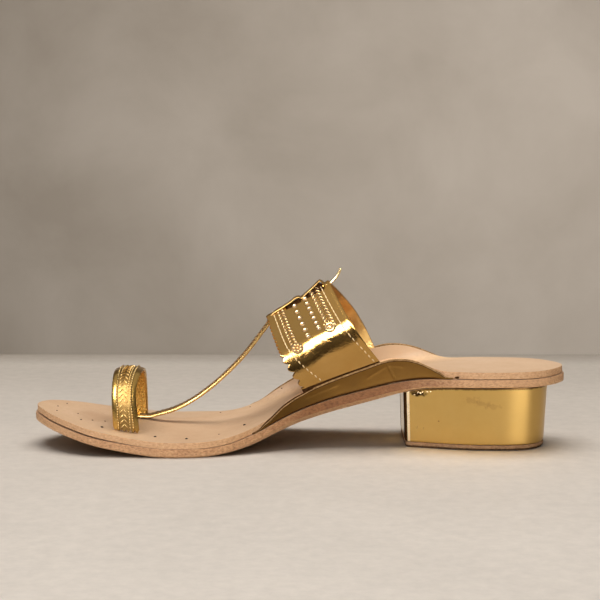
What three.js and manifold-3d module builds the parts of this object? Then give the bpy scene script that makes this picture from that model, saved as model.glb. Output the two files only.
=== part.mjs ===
import * as THREE from 'three';
import { mergeVertices } from 'three/addons/utils/BufferGeometryUtils.js';
import Module from 'manifold-3d';

// Block heel sandal for the right foot. Millimetres, floor at z = 0.
// The toe points to -X, the medial side (big toe) is -Y and the lateral side is +Y.

const soleLength = 250;
const halfLength = soleLength / 2;
const gap = 0.3; // between pieces that touch
const tipInset = 0.15; // end stations stand this far inside the tips
const insoleSetback = 0.4; // insole edge behind the outsole edge
const insoleTipSetback = 0.8; // the same at toe and heel tip
const facingSetback = 0.6; // ear facing behind the outsole edge
const facingWall = 1.2;
const roomBlend = 6; // length over which the insole edge steps in for an ear or a strap end
const earRoomLead = 3; // the room starts this far before the ear does
const bandRoomLead = 2.5;
const bandWall = 1.5;
const wingBend = 4; // inner radius where the insole turns up
const wingLean = THREE.MathUtils.degToRad(82);
const fullBendHeight = 5; // a wing at least this high has the whole bend
const topPieceHeight = 2.4;
const ringWall = 1.6;
const ringCentre = { x: -80.6, y: -4.9 };
const ringHalfSpan = 19.3; // to the middle of the wall
const ringHeight = 26.1; // insole to the middle of the wall
const ringSquareness = 2.5; // 2 is an ellipse, more is squarer
const thongWidth = 5.4;
const thongThickness = 2;
const crownY = 7; // the band's highest line lies over the middle of the waist
const braidRelief = 0.55;
const scallopPitch = 4.7;
const scallopDepth = 1.8;
const scallopCount = 4;
const toothPitch = 2.4;
const toothDepth = 1.2;

// Sole sections: edges, height of the underside, thickness of the two sheets, bevel of the lower edge.
const soleSections = [
  { x: -125, medial: -3, lateral: -3, under: 12, outsole: 3.8, insole: 2.8, bevel: 0.7 },
  { x: -121.5, medial: -13.2, lateral: 10, under: 11.1, outsole: 3.8, insole: 2.8, bevel: 0.7 },
  { x: -116, medial: -21, lateral: 17.2, under: 9.75, outsole: 3.8, insole: 2.8, bevel: 0.7 },
  { x: -107, medial: -28.5, lateral: 24.6, under: 7.5, outsole: 3.8, insole: 2.8, bevel: 0.7 },
  { x: -96, medial: -34.6, lateral: 29.9, under: 4.9, outsole: 3.8, insole: 2.8, bevel: 0.7 },
  { x: -82, medial: -37.3, lateral: 34.4, under: 2.3, outsole: 3.8, insole: 2.8, bevel: 0.7 },
  { x: -72, medial: -38.7, lateral: 37.2, under: 0.9, outsole: 3.8, insole: 2.8, bevel: 0.7 },
  { x: -63, medial: -39.7, lateral: 38.6, under: 0, outsole: 3.8, insole: 2.8, bevel: 0.7 },
  { x: -54, medial: -40, lateral: 39.8, under: 0, outsole: 3.8, insole: 2.8, bevel: 0.7 },
  { x: -46, medial: -38.9, lateral: 40, under: 0, outsole: 3.8, insole: 2.8, bevel: 0.7 },
  { x: -38, medial: -36.6, lateral: 39.1, under: 0.5, outsole: 3.8, insole: 2.8, bevel: 0.8 },
  { x: -30, medial: -33.3, lateral: 37.6, under: 1.7, outsole: 4.1, insole: 2.8, bevel: 1 },
  { x: -20, medial: -28, lateral: 35.2, under: 4.4, outsole: 4.6, insole: 2.6, bevel: 1.5 },
  { x: -10, medial: -23, lateral: 33.4, under: 8.6, outsole: 5.2, insole: 2.5, bevel: 2 },
  { x: 0, medial: -19, lateral: 32.2, under: 12.4, outsole: 5.7, insole: 2.4, bevel: 2.1 },
  { x: 18, medial: -15.5, lateral: 31.5, under: 17.5, outsole: 6.3, insole: 2.5, bevel: 2.1 },
  { x: 37, medial: -15, lateral: 31, under: 22.6, outsole: 6, insole: 2.6, bevel: 2.1 },
  { x: 48, medial: -15.8, lateral: 29.8, under: 25.9, outsole: 5.2, insole: 2.8, bevel: 1.4 },
  { x: 58, medial: -18.6, lateral: 28, under: 28.5, outsole: 4.1, insole: 3, bevel: 0.8 },
  { x: 70, medial: -22.7, lateral: 25.4, under: 29.3, outsole: 3.8, insole: 3.1, bevel: 0.7 },
  { x: 82, medial: -25.2, lateral: 23.4, under: 29.6, outsole: 3.8, insole: 3.1, bevel: 0.7 },
  { x: 94, medial: -25.8, lateral: 22.6, under: 29.7, outsole: 3.8, insole: 3.1, bevel: 0.7 },
  { x: 107, medial: -23.6, lateral: 21.2, under: 29.7, outsole: 3.8, insole: 3.1, bevel: 0.7 },
  { x: 116, medial: -17.6, lateral: 16.6, under: 29.7, outsole: 3.8, insole: 3.1, bevel: 0.7 },
  { x: 121.5, medial: -10.4, lateral: 10.2, under: 29.7, outsole: 3.8, insole: 3.1, bevel: 0.7 },
  { x: 125, medial: 0, lateral: 0, under: 29.7, outsole: 3.8, insole: 3.1, bevel: 0.7 },
];

// Height of the turned-up wings over the insole's top face.
const wingSections = [
  { x: -33, medial: 0, lateral: 0 },
  { x: -20, medial: 0, lateral: 1.6 },
  { x: -15, medial: 0.3, lateral: 3 },
  { x: -7, medial: 3.4, lateral: 5 },
  { x: 0, medial: 4.7, lateral: 6.2 },
  { x: 18, medial: 6.3, lateral: 8 },
  { x: 30, medial: 7.5, lateral: 9.3 },
  { x: 40, medial: 8.5, lateral: 9.8 },
  { x: 46, medial: 7.9, lateral: 9 },
  { x: 52, medial: 6.2, lateral: 7.3 },
  { x: 58, medial: 3.5, lateral: 5 },
  { x: 65, medial: 0.3, lateral: 2 },
  { x: 71, medial: 0, lateral: 0 },
];

// Ends of each ear facing, and where its full height begins and stops.
const earSpans = {
  medial: { start: -21.5, fullFrom: -14, fullTo: 63, end: 70.5 },
  lateral: { start: -33, fullFrom: -24, fullTo: 66, end: 74 },
};

// Heel block outline at the floor: the breast is straight, the back is round.
const heelSections = [
  { x: 49.4, medial: -12.8, lateral: 24.6 },
  { x: 49.9, medial: -14.1, lateral: 25.9 },
  { x: 51.2, medial: -14.9, lateral: 26.3 },
  { x: 58, medial: -16.8, lateral: 25 },
  { x: 70, medial: -20.6, lateral: 22.4 },
  { x: 82, medial: -22.9, lateral: 20.6 },
  { x: 94, medial: -23.4, lateral: 19.8 },
  { x: 104, medial: -21.8, lateral: 18.4 },
  { x: 111, medial: -16.6, lateral: 14.4 },
  { x: 115.3, medial: -1, lateral: -1 },
];
const heelFlare = 0.028; // growth of the outline from the floor to the seat
const heelBackFlare = 0.05; // the same behind the pivot
const heelPivot = { x: 82, y: 1 };

// The band in side view: its front and rear edges, at the crown and where they enter the ears.
const bandFront = { foot: [0.5, 28.06], crown: [-16.1, 58.4] };
const bandRear = { foot: [36.7, 40.9], crown: [13.8, 75.6] };

// Half of the band's arch: along is the share of its length, rise runs from the ear line to the crown,
// spread is the distance from the crown line against that at the ear. A bend over the ear parts the
// upright side from the flat upper panel.
const archRows = [
  { along: 0, spread: 1, rise: -0.2 },
  { along: 0.138, spread: 1, rise: 0 },
  { along: 0.181, spread: 1.023, rise: 0.06 },
  { along: 0.237, spread: 1.049, rise: 0.14 },
  { along: 0.293, spread: 1.069, rise: 0.22 },
  { along: 0.335, spread: 1.075, rise: 0.28 },
  { along: 0.355, spread: 1.0735, rise: 0.31 },
  { along: 0.397, spread: 1.063, rise: 0.37 },
  { along: 0.432, spread: 1.048, rise: 0.42 },
  { along: 0.446, spread: 1.0395, rise: 0.44 },
  { along: 0.468, spread: 1.0215, rise: 0.47 },
  { along: 0.491, spread: 0.996, rise: 0.5 },
  { along: 0.516, spread: 0.961, rise: 0.53 },
  { along: 0.538, spread: 0.9225, rise: 0.555 },
  { along: 0.558, spread: 0.885, rise: 0.575 },
  { along: 0.659, spread: 0.688, rise: 0.6765 },
  { along: 0.76, spread: 0.491, rise: 0.7775 },
  { along: 0.851, spread: 0.315, rise: 0.868 },
  { along: 0.91, spread: 0.198, rise: 0.927 },
  { along: 0.953, spread: 0.11, rise: 0.967 },
  { along: 0.982, spread: 0.045, rise: 0.991 },
  { along: 1, spread: 0, rise: 1 },
];
const archLength = 55.3; // from the buried end to the crown
const buriedLength = 7.65;
const frontBow = 1.3; // the front edge bows this far forward between ear and crown
const rearBow = { medial: -1.1, lateral: 2 }; // and the rear edge this far to the rear

// Across the band from the front edge to the rear edge: raised 1 is the top of a braid row.
const bandColumns = [
  { across: 0, raised: 0 },
  { across: 0.07, raised: 0 },
  { across: 0.165, raised: 0 },
  { across: 0.185, raised: 1 },
  { across: 0.255, raised: 1 },
  { across: 0.275, raised: 0 },
  { across: 0.5, raised: 0 },
  { across: 0.705, raised: 0 },
  { across: 0.725, raised: 1 },
  { across: 0.795, raised: 1 },
  { across: 0.815, raised: 0 },
  { across: 0.93, raised: 0 },
  { across: 1, raised: 0 },
];
const braidEnd = { from: 0.52, to: 0.6 }; // the braids fade out at this rise

// Along the toe ring from its medial foot (0) to its lateral foot (1): sideways shift and width.
const ringRows = [
  { share: 0, shift: 0.35, width: 12.1 },
  { share: 0.2, shift: -0.9, width: 11.2 },
  { share: 0.5, shift: 0.3, width: 13.2 },
  { share: 0.8, shift: 1, width: 12 },
  { share: 1, shift: 0.8, width: 12.4 },
];

// Across the toe ring: a raised line runs inside each edge, and the edges turn in.
const ringColumns = [
  { across: -0.5, raised: 0, turnedIn: 1 },
  { across: -0.37, raised: 0, turnedIn: 0.3 },
  { across: -0.29, raised: 0.35, turnedIn: 0.1 },
  { across: 0.29, raised: 0.35, turnedIn: 0.1 },
  { across: 0.37, raised: 0, turnedIn: 0.3 },
  { across: 0.5, raised: 0, turnedIn: 1 },
];

// The thong from the ring to the band, with its width and thickness against the full size.
const thongRows = [
  { x: -79, y: 12.4, z: 9.95, width: 0.9, thick: 0.8 },
  { x: -73, y: 13, z: 9.7, width: 1, thick: 0.9 },
  { x: -67.8, y: 13.2, z: 10.9, width: 1, thick: 1 },
  { x: -61.5, y: 13, z: 12.7, width: 1, thick: 1 },
  { x: -53.2, y: 12.4, z: 16.8, width: 1, thick: 1 },
  { x: -42.9, y: 11.4, z: 24.2, width: 1, thick: 1 },
  { x: -28.8, y: 9.6, z: 37.7, width: 1, thick: 1 },
  { x: -18.8, y: 8, z: 50.4, width: 1, thick: 1 },
];

// The thong woven through the band's crown: across the band, and height over the middle of its wall.
const weaveRows = [
  { across: 0.03, over: -1.9, width: 1, thick: 1 },
  { across: 0.08, over: -0.3, width: 1, thick: 0.8 },
  { across: 0.13, over: 0.25, width: 1, thick: 0.6 },
  { across: 0.25, over: 0.4, width: 1, thick: 0.6 },
  { across: 0.4, over: 0.7, width: 1, thick: 0.6 },
  { across: 0.515, over: 1.05, width: 1, thick: 0.6 },
  { across: 0.535, over: 0.7, width: 1, thick: 0.6 },
  { across: 0.555, over: -0.2, width: 1, thick: 0.6 },
  { across: 0.575, over: -0.3, width: 1, thick: 0.6 },
  { across: 0.6, over: 0.1, width: 1, thick: 0.6 },
  { across: 0.65, over: 0.6, width: 1, thick: 0.6 },
  { across: 0.72, over: 1.1, width: 1, thick: 0.6 },
  { across: 0.8, over: 1.6, width: 1, thick: 0.6 },
  { across: 0.86, over: 2, width: 1, thick: 0.6 },
  { across: 0.88, over: 1.5, width: 1, thick: 0.6 },
  { across: 0.905, over: 0.2, width: 1, thick: 0.6 },
  { across: 0.93, over: -0.4, width: 0.95, thick: 0.6 },
  { across: 0.96, over: -0.7, width: 0.9, thick: 0.65 },
  { across: 1, over: -0.8, width: 0.8, thick: 0.7 },
  { across: 1.05, over: -0.5, width: 0.6, thick: 0.75 },
  { across: 1.107, over: 0, width: 0.5, thick: 0.75 },
  { across: 1.17, over: 1.1, width: 0.45, thick: 0.75 },
  { across: 1.232, over: 2.8, width: 0.4, thick: 0.6 },
];

const soleStations = 60;
const earStations = 34;
const heelStations = 26;
const ringStations = 34;
const thongStations = 60;

const wasm = await Module();
wasm.setup();
const { clamp, lerp, smoothstep } = THREE.MathUtils;

// Smooth curve through knots [key, value] that does not overshoot them.
function curveThrough(knots) {
  const slopes = knots.slice(1).map((knot, i) => (knot[1] - knots[i][1]) / (knot[0] - knots[i][0]));
  const tangents = knots.map((knot, i) => {
    const before = slopes[i - 1] ?? slopes[i];
    const after = slopes[i] ?? slopes[i - 1];
    return before * after > 0 ? (2 * before * after) / (before + after) : 0;
  });
  return (key) => {
    let i = 0;
    while (i < knots.length - 2 && key > knots[i + 1][0]) {
      i += 1;
    }
    const span = knots[i + 1][0] - knots[i][0];
    const t = clamp((key - knots[i][0]) / span, 0, 1);
    const near = (1 + 2 * t) * (1 - t) ** 2 * knots[i][1] + t * (1 - t) ** 2 * span * tangents[i];
    const far = t * t * (3 - 2 * t) * knots[i + 1][1] + t * t * (t - 1) * span * tangents[i + 1];
    return near + far;
  };
}

const tableCurve = (rows, key, column) => curveThrough(rows.map((row) => [row[key], row[column]]));

// Along the sole the stations are spaced by angle, so both ends close in a round.
const soleAngle = (x) => Math.acos(clamp(-x / halfLength, -1, 1));

function soleCurve(column) {
  const curve = curveThrough(soleSections.map((row) => [soleAngle(row.x), row[column]]));
  return (x) => curve(soleAngle(x));
}

const edgeOf = { medial: soleCurve('medial'), lateral: soleCurve('lateral') };
const underside = soleCurve('under');
const outsoleThickness = soleCurve('outsole');
const insoleThickness = soleCurve('insole');
const lowerBevel = soleCurve('bevel');
const wingOf = {
  medial: tableCurve(wingSections, 'x', 'medial'),
  lateral: tableCurve(wingSections, 'x', 'lateral'),
};
const outward = { medial: -1, lateral: 1 };
const outsoleTop = (x) => underside(x) + outsoleThickness(x);
const insoleBottom = (x) => outsoleTop(x) + gap;
const insoleTop = (x) => insoleBottom(x) + insoleThickness(x);

function soleStationList() {
  const first = soleAngle(-halfLength + tipInset);
  return Array.from({ length: soleStations + 1 }, (_, i) => {
    return -halfLength * Math.cos(lerp(first, Math.PI - first, i / soleStations));
  });
}

// Geometry from vertices and triangles, turned so that its faces point out.
function closedGeometry(vertices, triangles) {
  const edgeA = new THREE.Vector3();
  const volume = triangles.reduce((sum, [a, b, c]) => {
    return sum + edgeA.crossVectors(vertices[b], vertices[c]).dot(vertices[a]);
  }, 0);
  const turned = volume > 0 ? triangles : triangles.map(([a, b, c]) => [a, c, b]);
  const geometry = new THREE.BufferGeometry();
  const coordinates = vertices.flatMap((vertex) => vertex.toArray());
  geometry.setAttribute('position', new THREE.Float32BufferAttribute(coordinates, 3));
  geometry.setIndex(turned.flat());
  return geometry;
}

// Solid between two matching grids of points, closed round its rim.
function slab(upper, lower) {
  const rows = upper.length;
  const columns = upper[0].length;
  const vertices = [...upper.flat(), ...lower.flat()];
  const top = (i, j) => i * columns + j;
  const base = (i, j) => rows * columns + i * columns + j;
  const triangles = [];
  const quad = (a, b, c, d) => triangles.push([a, b, c], [a, c, d]);
  for (let i = 0; i < rows - 1; i += 1) {
    for (let j = 0; j < columns - 1; j += 1) {
      quad(top(i, j), top(i + 1, j), top(i + 1, j + 1), top(i, j + 1));
      quad(base(i, j), base(i, j + 1), base(i + 1, j + 1), base(i + 1, j));
    }
    quad(top(i, 0), base(i, 0), base(i + 1, 0), top(i + 1, 0));
    quad(top(i + 1, columns - 1), base(i + 1, columns - 1), base(i, columns - 1), top(i, columns - 1));
  }
  for (let j = 0; j < columns - 1; j += 1) {
    quad(top(0, j + 1), base(0, j + 1), base(0, j), top(0, j));
    quad(top(rows - 1, j), base(rows - 1, j), base(rows - 1, j + 1), top(rows - 1, j + 1));
  }
  return closedGeometry(vertices, triangles);
}

// Solid through matching closed convex sections, with flat ends.
function loft(sections) {
  const count = sections[0].length;
  const triangles = [];
  for (let i = 0; i < sections.length - 1; i += 1) {
    for (let j = 0; j < count; j += 1) {
      const next = (j + 1) % count;
      const a = i * count + j;
      const b = i * count + next;
      triangles.push([a, b, b + count], [a, b + count, a + count]);
    }
  }
  const last = (sections.length - 1) * count;
  for (let j = 1; j < count - 1; j += 1) {
    triangles.push([0, j + 1, j], [last, last + j, last + j + 1]);
  }
  return closedGeometry(sections.flat(), triangles);
}

function outsoleGeometry() {
  const upper = [];
  const lower = [];
  for (const x of soleStationList()) {
    const bottom = underside(x);
    const medial = edgeOf.medial(x);
    const lateral = edgeOf.lateral(x);
    const bevel = Math.min(lowerBevel(x), (lateral - medial) / 4);
    const sides = [medial, medial + bevel, lateral - bevel, lateral];
    upper.push(sides.map((y) => new THREE.Vector3(x, y, outsoleTop(x))));
    lower.push(sides.map((y, j) => new THREE.Vector3(x, y, j % 3 === 0 ? bottom + bevel : bottom)));
  }
  return slab(upper, lower);
}

// Share of the ear facing's full height at x.
function earShare(x, side) {
  const span = earSpans[side];
  return smoothstep(x, span.start, span.fullFrom) * (1 - smoothstep(x, span.fullTo, span.end));
}

// Share of the room that the insole leaves between two stations, eased in and out.
function roomAlong(x, first, last) {
  return smoothstep(x, first - roomBlend, first) * (1 - smoothstep(x, last, last + roomBlend));
}

function earRoom(x, side) {
  const { start, end } = earSpans[side];
  return roomAlong(x, start - earRoomLead, end + earRoomLead);
}

// The band's end lies between wing and facing along this stretch.
const bandEndX = lerp(bandRear.foot[0], bandRear.crown[0], archRows[0].rise);
const bandRoom = (x) => roomAlong(x, bandFront.foot[0] - bandRoomLead, bandEndX + bandRoomLead);

const facingOuter = (x, side) => edgeOf[side](x) - outward[side] * facingSetback;
const facingInner = (x, side) => facingOuter(x, side) - outward[side] * facingWall;
const bandEndMiddle = (x, side) => facingInner(x, side) - outward[side] * (gap + bandWall / 2);

function insoleFace(x, side) {
  const earSetback = facingSetback + facingWall + gap - insoleSetback;
  const setback = insoleSetback + earSetback * earRoom(x, side) + (bandWall + gap) * bandRoom(x);
  return edgeOf[side](x) - outward[side] * setback;
}

// One side of the insole at x: pairs of points on its lower and upper face, from the flat to the edge.
function insoleSide(x, side) {
  const bendSteps = 3;
  const leastTurn = 0.01;
  const leastRun = 0.5;
  const height = wingOf[side](x);
  const outerBend = wingBend + insoleThickness(x);
  const turn = wingLean * clamp(height / fullBendHeight, leastTurn, 1);
  const run = Math.max(leastRun, (height - wingBend * (1 - Math.cos(turn))) / Math.sin(turn));
  const stops = Array.from({ length: bendSteps + 1 }, (_, k) => ({ angle: (turn * k) / bendSteps, run: 0 }));
  stops.push({ angle: turn, run });
  const reach = (stop, radius) => radius * Math.sin(stop.angle) + stop.run * Math.cos(stop.angle);
  const lift = (stop, radius) => outerBend - radius * Math.cos(stop.angle) + stop.run * Math.sin(stop.angle);
  const widest = Math.max(...stops.map((stop) => reach(stop, outerBend)));
  const point = (stop, radius) => {
    const y = insoleFace(x, side) + outward[side] * (reach(stop, radius) - widest);
    return new THREE.Vector3(x, y, insoleBottom(x) + lift(stop, radius));
  };
  return stops.map((stop) => ({ upper: point(stop, wingBend), lower: point(stop, outerBend) }));
}

function insoleGeometry() {
  const upper = [];
  const lower = [];
  for (const x of soleStationList()) {
    const pairs = [...insoleSide(x, 'medial').reverse(), ...insoleSide(x, 'lateral')];
    upper.push(pairs.map((pair) => pair.upper));
    lower.push(pairs.map((pair) => pair.lower));
  }
  const shorter = 1 - insoleTipSetback / halfLength;
  return slab(upper, lower).scale(shorter, 1, 1);
}

function earGeometry(side) {
  const span = earSpans[side];
  const heightSteps = 3;
  const leastHeight = 0.6;
  const bulge = 0.35;
  const outer = [];
  const inner = [];
  for (let i = 0; i <= earStations; i += 1) {
    const x = lerp(span.start, span.end, i / earStations);
    const bottom = outsoleTop(x) + gap;
    const full = insoleThickness(x) + wingOf[side](x);
    const height = Math.max(leastHeight, full * earShare(x, side));
    const outerRow = [];
    const innerRow = [];
    for (let k = 0; k <= heightSteps; k += 1) {
      const share = k / heightSteps;
      const z = bottom + height * share;
      const swell = outward[side] * bulge * Math.sin(Math.PI * share) * earShare(x, side);
      outerRow.push(new THREE.Vector3(x, facingOuter(x, side) + swell, z));
      innerRow.push(new THREE.Vector3(x, facingInner(x, side), z));
    }
    outer.push(outerRow);
    inner.push(innerRow);
  }
  return slab(outer, inner);
}

// Heel outline between two heights, flared towards the seat.
function heelGeometry(bottomOf, topOf) {
  const breast = heelSections[0].x;
  const back = heelSections.at(-1).x;
  const toKey = (x) => Math.asin(clamp((x - breast) / (back - breast), 0, 1));
  const medial = curveThrough(heelSections.map((row) => [toKey(row.x), row.medial]));
  const lateral = curveThrough(heelSections.map((row) => [toKey(row.x), row.lateral]));
  const upper = [];
  const lower = [];
  const cornerKeys = heelSections.slice(0, 3).map((row) => toKey(row.x));
  const backKey = toKey(back - tipInset);
  const firstKey = cornerKeys.at(-1);
  const keyAt = (i) => lerp(firstKey, backKey, (i + 1) / heelStations);
  const sweep = Array.from({ length: heelStations }, (_, i) => keyAt(i));
  for (const key of [...cornerKeys, ...sweep]) {
    const plan = [medial(key), lateral(key)].map((y) => [breast + (back - breast) * Math.sin(key), y]);
    const place = ([x, y], lift, heightOf) => {
      const flareX = x > heelPivot.x ? heelBackFlare : heelFlare;
      const flaredX = heelPivot.x + (x - heelPivot.x) * (1 + flareX * lift);
      const flaredY = heelPivot.y + (y - heelPivot.y) * (1 + heelFlare * lift);
      return new THREE.Vector3(flaredX, flaredY, heightOf(flaredX));
    };
    const share = (heightOf) => clamp(heightOf(heelPivot.x) / underside(heelPivot.x), 0, 1);
    upper.push(plan.map((point) => place(point, share(topOf), topOf)));
    lower.push(plan.map((point) => place(point, share(bottomOf), bottomOf)));
  }
  return slab(upper, lower);
}

// Band: arch curves over the whole width, from the medial end (-1) to the lateral end (1).
const archKnots = (column, sign) => {
  const medialHalf = archRows.map((row) => [row.along - 1, sign * row[column]]);
  const lateralHalf = archRows.slice(0, -1).map((row) => [1 - row.along, row[column]]);
  return [...medialHalf, ...lateralHalf.reverse()];
};
const archSpread = curveThrough(archKnots('spread', -1));
const archRise = curveThrough(archKnots('rise', 1));

// Point on the middle of the band's wall: arch is the place round the foot, across runs from front to rear.
function bandPoint(arch, across) {
  const rise = archRise(arch);
  const side = arch < 0 ? 'medial' : 'lateral';
  const edgeAt = (edge, axis) => lerp(edge.foot[axis], edge.crown[axis], rise);
  const runX = edgeAt(bandRear, 0) - edgeAt(bandFront, 0);
  const runZ = edgeAt(bandRear, 1) - edgeAt(bandFront, 1);
  const swell = Math.sin(Math.PI * clamp(rise, 0, 1)) / Math.hypot(runX, runZ);
  const reachAcross = across + lerp(-frontBow, rearBow[side], across) * swell;
  const x = edgeAt(bandFront, 0) + runX * reachAcross;
  const z = edgeAt(bandFront, 1) + runZ * reachAcross;
  const footX = lerp(bandFront.foot[0], bandRear.foot[0], across);
  const reach = Math.abs(bandEndMiddle(Math.max(x, footX), side) - crownY);
  return new THREE.Vector3(x, crownY + archSpread(arch) * reach, z);
}

function bandNormal(arch, across) {
  const step = 0.004;
  const round = bandPoint(arch + step, across).sub(bandPoint(arch - step, across));
  const along = bandPoint(arch, across + step).sub(bandPoint(arch, across - step));
  return along.cross(round).normalize();
}

// Stations round half of the band's arch, each with the depth of the pinked front edge there.
function pinkedStations() {
  const stations = [0, buriedLength / 2].map((length) => ({ length, cut: 0 }));
  const lobeSteps = 4;
  for (let k = 0; k < scallopCount * lobeSteps; k += 1) {
    const cut = scallopDepth * (1 - Math.sin(Math.PI * ((k % lobeSteps) / lobeSteps)));
    stations.push({ length: buriedLength + (k * scallopPitch) / lobeSteps, cut });
  }
  const teethFrom = buriedLength + scallopCount * scallopPitch;
  const teeth = Math.round((archLength - teethFrom) / toothPitch);
  for (let k = 0; k < teeth * 2; k += 1) {
    const length = teethFrom + ((archLength - teethFrom) * k) / (teeth * 2);
    stations.push({ length, cut: k % 2 === 0 ? toothDepth : 0 });
  }
  return stations.map(({ length, cut }) => ({ arch: length / archLength - 1, cut }));
}

function bandGeometry() {
  const half = pinkedStations();
  const crown = { arch: 0, cut: toothDepth };
  const mirrored = half.map(({ arch, cut }) => ({ arch: -arch, cut })).reverse();
  const bandWidth = bandPoint(0, 0).distanceTo(bandPoint(0, 1));
  const outer = [];
  const inner = [];
  for (const { arch, cut } of [...half, crown, ...mirrored]) {
    const braid = braidRelief * smoothstep(archRise(arch), braidEnd.from, braidEnd.to);
    const row = bandColumns.map(({ across, raised }) => {
      const place = across === 0 ? cut / bandWidth : across;
      const middle = bandPoint(arch, place);
      const normal = bandNormal(arch, place);
      return {
        outer: middle.clone().addScaledVector(normal, bandWall / 2 + raised * braid),
        inner: middle.clone().addScaledVector(normal, -bandWall / 2),
      };
    });
    outer.push(row.map((pair) => pair.outer));
    inner.push(row.map((pair) => pair.inner));
  }
  return slab(outer, inner);
}

function ringGeometry() {
  const footZ = insoleTop(ringCentre.x) + gap;
  const shiftAt = tableCurve(ringRows, 'share', 'shift');
  const widthAt = tableCurve(ringRows, 'share', 'width');
  const outer = [];
  const inner = [];
  const middle = (angle) => {
    const bend = (value) => Math.sign(value) * Math.abs(value) ** (2 / ringSquareness);
    const y = ringCentre.y - ringHalfSpan * bend(Math.cos(angle));
    return new THREE.Vector3(ringCentre.x, y, footZ + ringHeight * bend(Math.sin(angle)));
  };
  for (let i = 0; i <= ringStations; i += 1) {
    const share = i / ringStations;
    const angle = Math.PI * share;
    const step = 0.01;
    const ahead = middle(Math.min(angle + step, Math.PI));
    const tangent = ahead.sub(middle(Math.max(angle - step, 0))).normalize();
    const normal = new THREE.Vector3(0, -tangent.z, tangent.y);
    const place = (across, offset) => {
      const point = middle(angle).addScaledVector(normal, offset);
      point.x += shiftAt(share) + across * widthAt(share);
      point.z = Math.max(point.z, insoleTop(point.x) + gap);
      return point;
    };
    outer.push(ringColumns.map((column) => {
      return place(column.across, ringWall / 2 + column.raised - column.turnedIn);
    }));
    inner.push(ringColumns.map(({ across, turnedIn }) => place(across, -ringWall / 2 - turnedIn)));
  }
  return slab(outer, inner);
}

function thongGeometry() {
  const crownNormal = (across) => bandNormal(0, across);
  const woven = weaveRows.map(({ across, over, width, thick }) => {
    const inBand = clamp(across, 0, 1);
    const point = bandPoint(0, across).addScaledVector(crownNormal(inBand), over);
    return { point, width, thick };
  });
  const free = thongRows.map(({ x, y, z, width, thick }) => {
    return { point: new THREE.Vector3(x, y, z), width, thick };
  });
  const rows = [...free, ...woven];
  const path = new THREE.CatmullRomCurve3(rows.map((row) => row.point), false, 'centripetal');
  const sizeCurve = (column) => curveThrough(rows.map((row, i) => [i / (rows.length - 1), row[column]]));
  const widthAt = sizeCurve('width');
  const thickAt = sizeCurve('thick');
  const corner = 0.3; // chamfer against the thickness
  const sections = [];
  for (let i = 0; i <= thongStations; i += 1) {
    const share = i / thongStations;
    const point = path.getPoint(share);
    const tangent = path.getTangent(share);
    const up = tangent.clone().cross(new THREE.Vector3(0, 1, 0)).negate().normalize();
    const sideways = up.clone().cross(tangent).normalize();
    const halfWidth = (thongWidth * widthAt(share)) / 2;
    const halfThick = (thongThickness * thickAt(share)) / 2;
    const cut = corner * halfThick * 2;
    const outline = [
      [halfWidth, cut - halfThick],
      [halfWidth, halfThick - cut],
      [halfWidth - cut, halfThick],
      [cut - halfWidth, halfThick],
      [-halfWidth, halfThick - cut],
      [-halfWidth, cut - halfThick],
      [cut - halfWidth, -halfThick],
      [halfWidth - cut, -halfThick],
    ];
    sections.push(outline.map(([a, b]) => {
      return point.clone().addScaledVector(sideways, a).addScaledVector(up, b);
    }));
  }
  return loft(sections);
}

function toSolid(geometry) {
  const merged = mergeVertices(geometry);
  const vertProperties = new Float32Array(merged.attributes.position.array);
  const triVerts = new Uint32Array(merged.index.array);
  return new wasm.Manifold(new wasm.Mesh({ numProp: 3, vertProperties, triVerts }));
}

function toGeometry(solid) {
  const mesh = solid.getMesh();
  const geometry = new THREE.BufferGeometry();
  geometry.setAttribute('position', new THREE.BufferAttribute(mesh.vertProperties, 3));
  geometry.setIndex(new THREE.BufferAttribute(mesh.triVerts, 1));
  return geometry;
}

// The straps are one wall: the thong is joined to the ring's lateral foot and to the band's crown.
function upperGeometry() {
  const straps = [bandGeometry(), thongGeometry(), ringGeometry()].map(toSolid);
  return toGeometry(straps.reduce((joined, strap) => joined.add(strap)));
}

const tanLeather = new THREE.MeshStandardMaterial({ color: 0xc99a6b, roughness: 0.62, metalness: 0 });
const cutLeather = new THREE.MeshStandardMaterial({ color: 0xb98355, roughness: 0.7, metalness: 0 });
const goldFoil = new THREE.MeshStandardMaterial({ color: 0xc9a047, roughness: 0.25, metalness: 1 });

const group = new THREE.Group();

function addPiece(name, geometry, material) {
  geometry.computeVertexNormals();
  const mesh = new THREE.Mesh(geometry, material);
  mesh.name = name;
  group.add(mesh);
}

const blockTop = (x) => underside(x) - gap;
addPiece('outsole', outsoleGeometry(), cutLeather);
addPiece('insole', insoleGeometry(), tanLeather);
addPiece('heel_block', heelGeometry(() => topPieceHeight + gap, blockTop), goldFoil);
addPiece('heel_top_piece', heelGeometry(() => 0, () => topPieceHeight), cutLeather);
addPiece('ear_medial', earGeometry('medial'), goldFoil);
addPiece('ear_lateral', earGeometry('lateral'), goldFoil);
addPiece('upper', upperGeometry(), goldFoil);

export default group;
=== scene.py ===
import math
import random
import bmesh
import bpy
from mathutils import Matrix, Vector, noise
from mathutils.bvhtree import BVHTree


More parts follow.
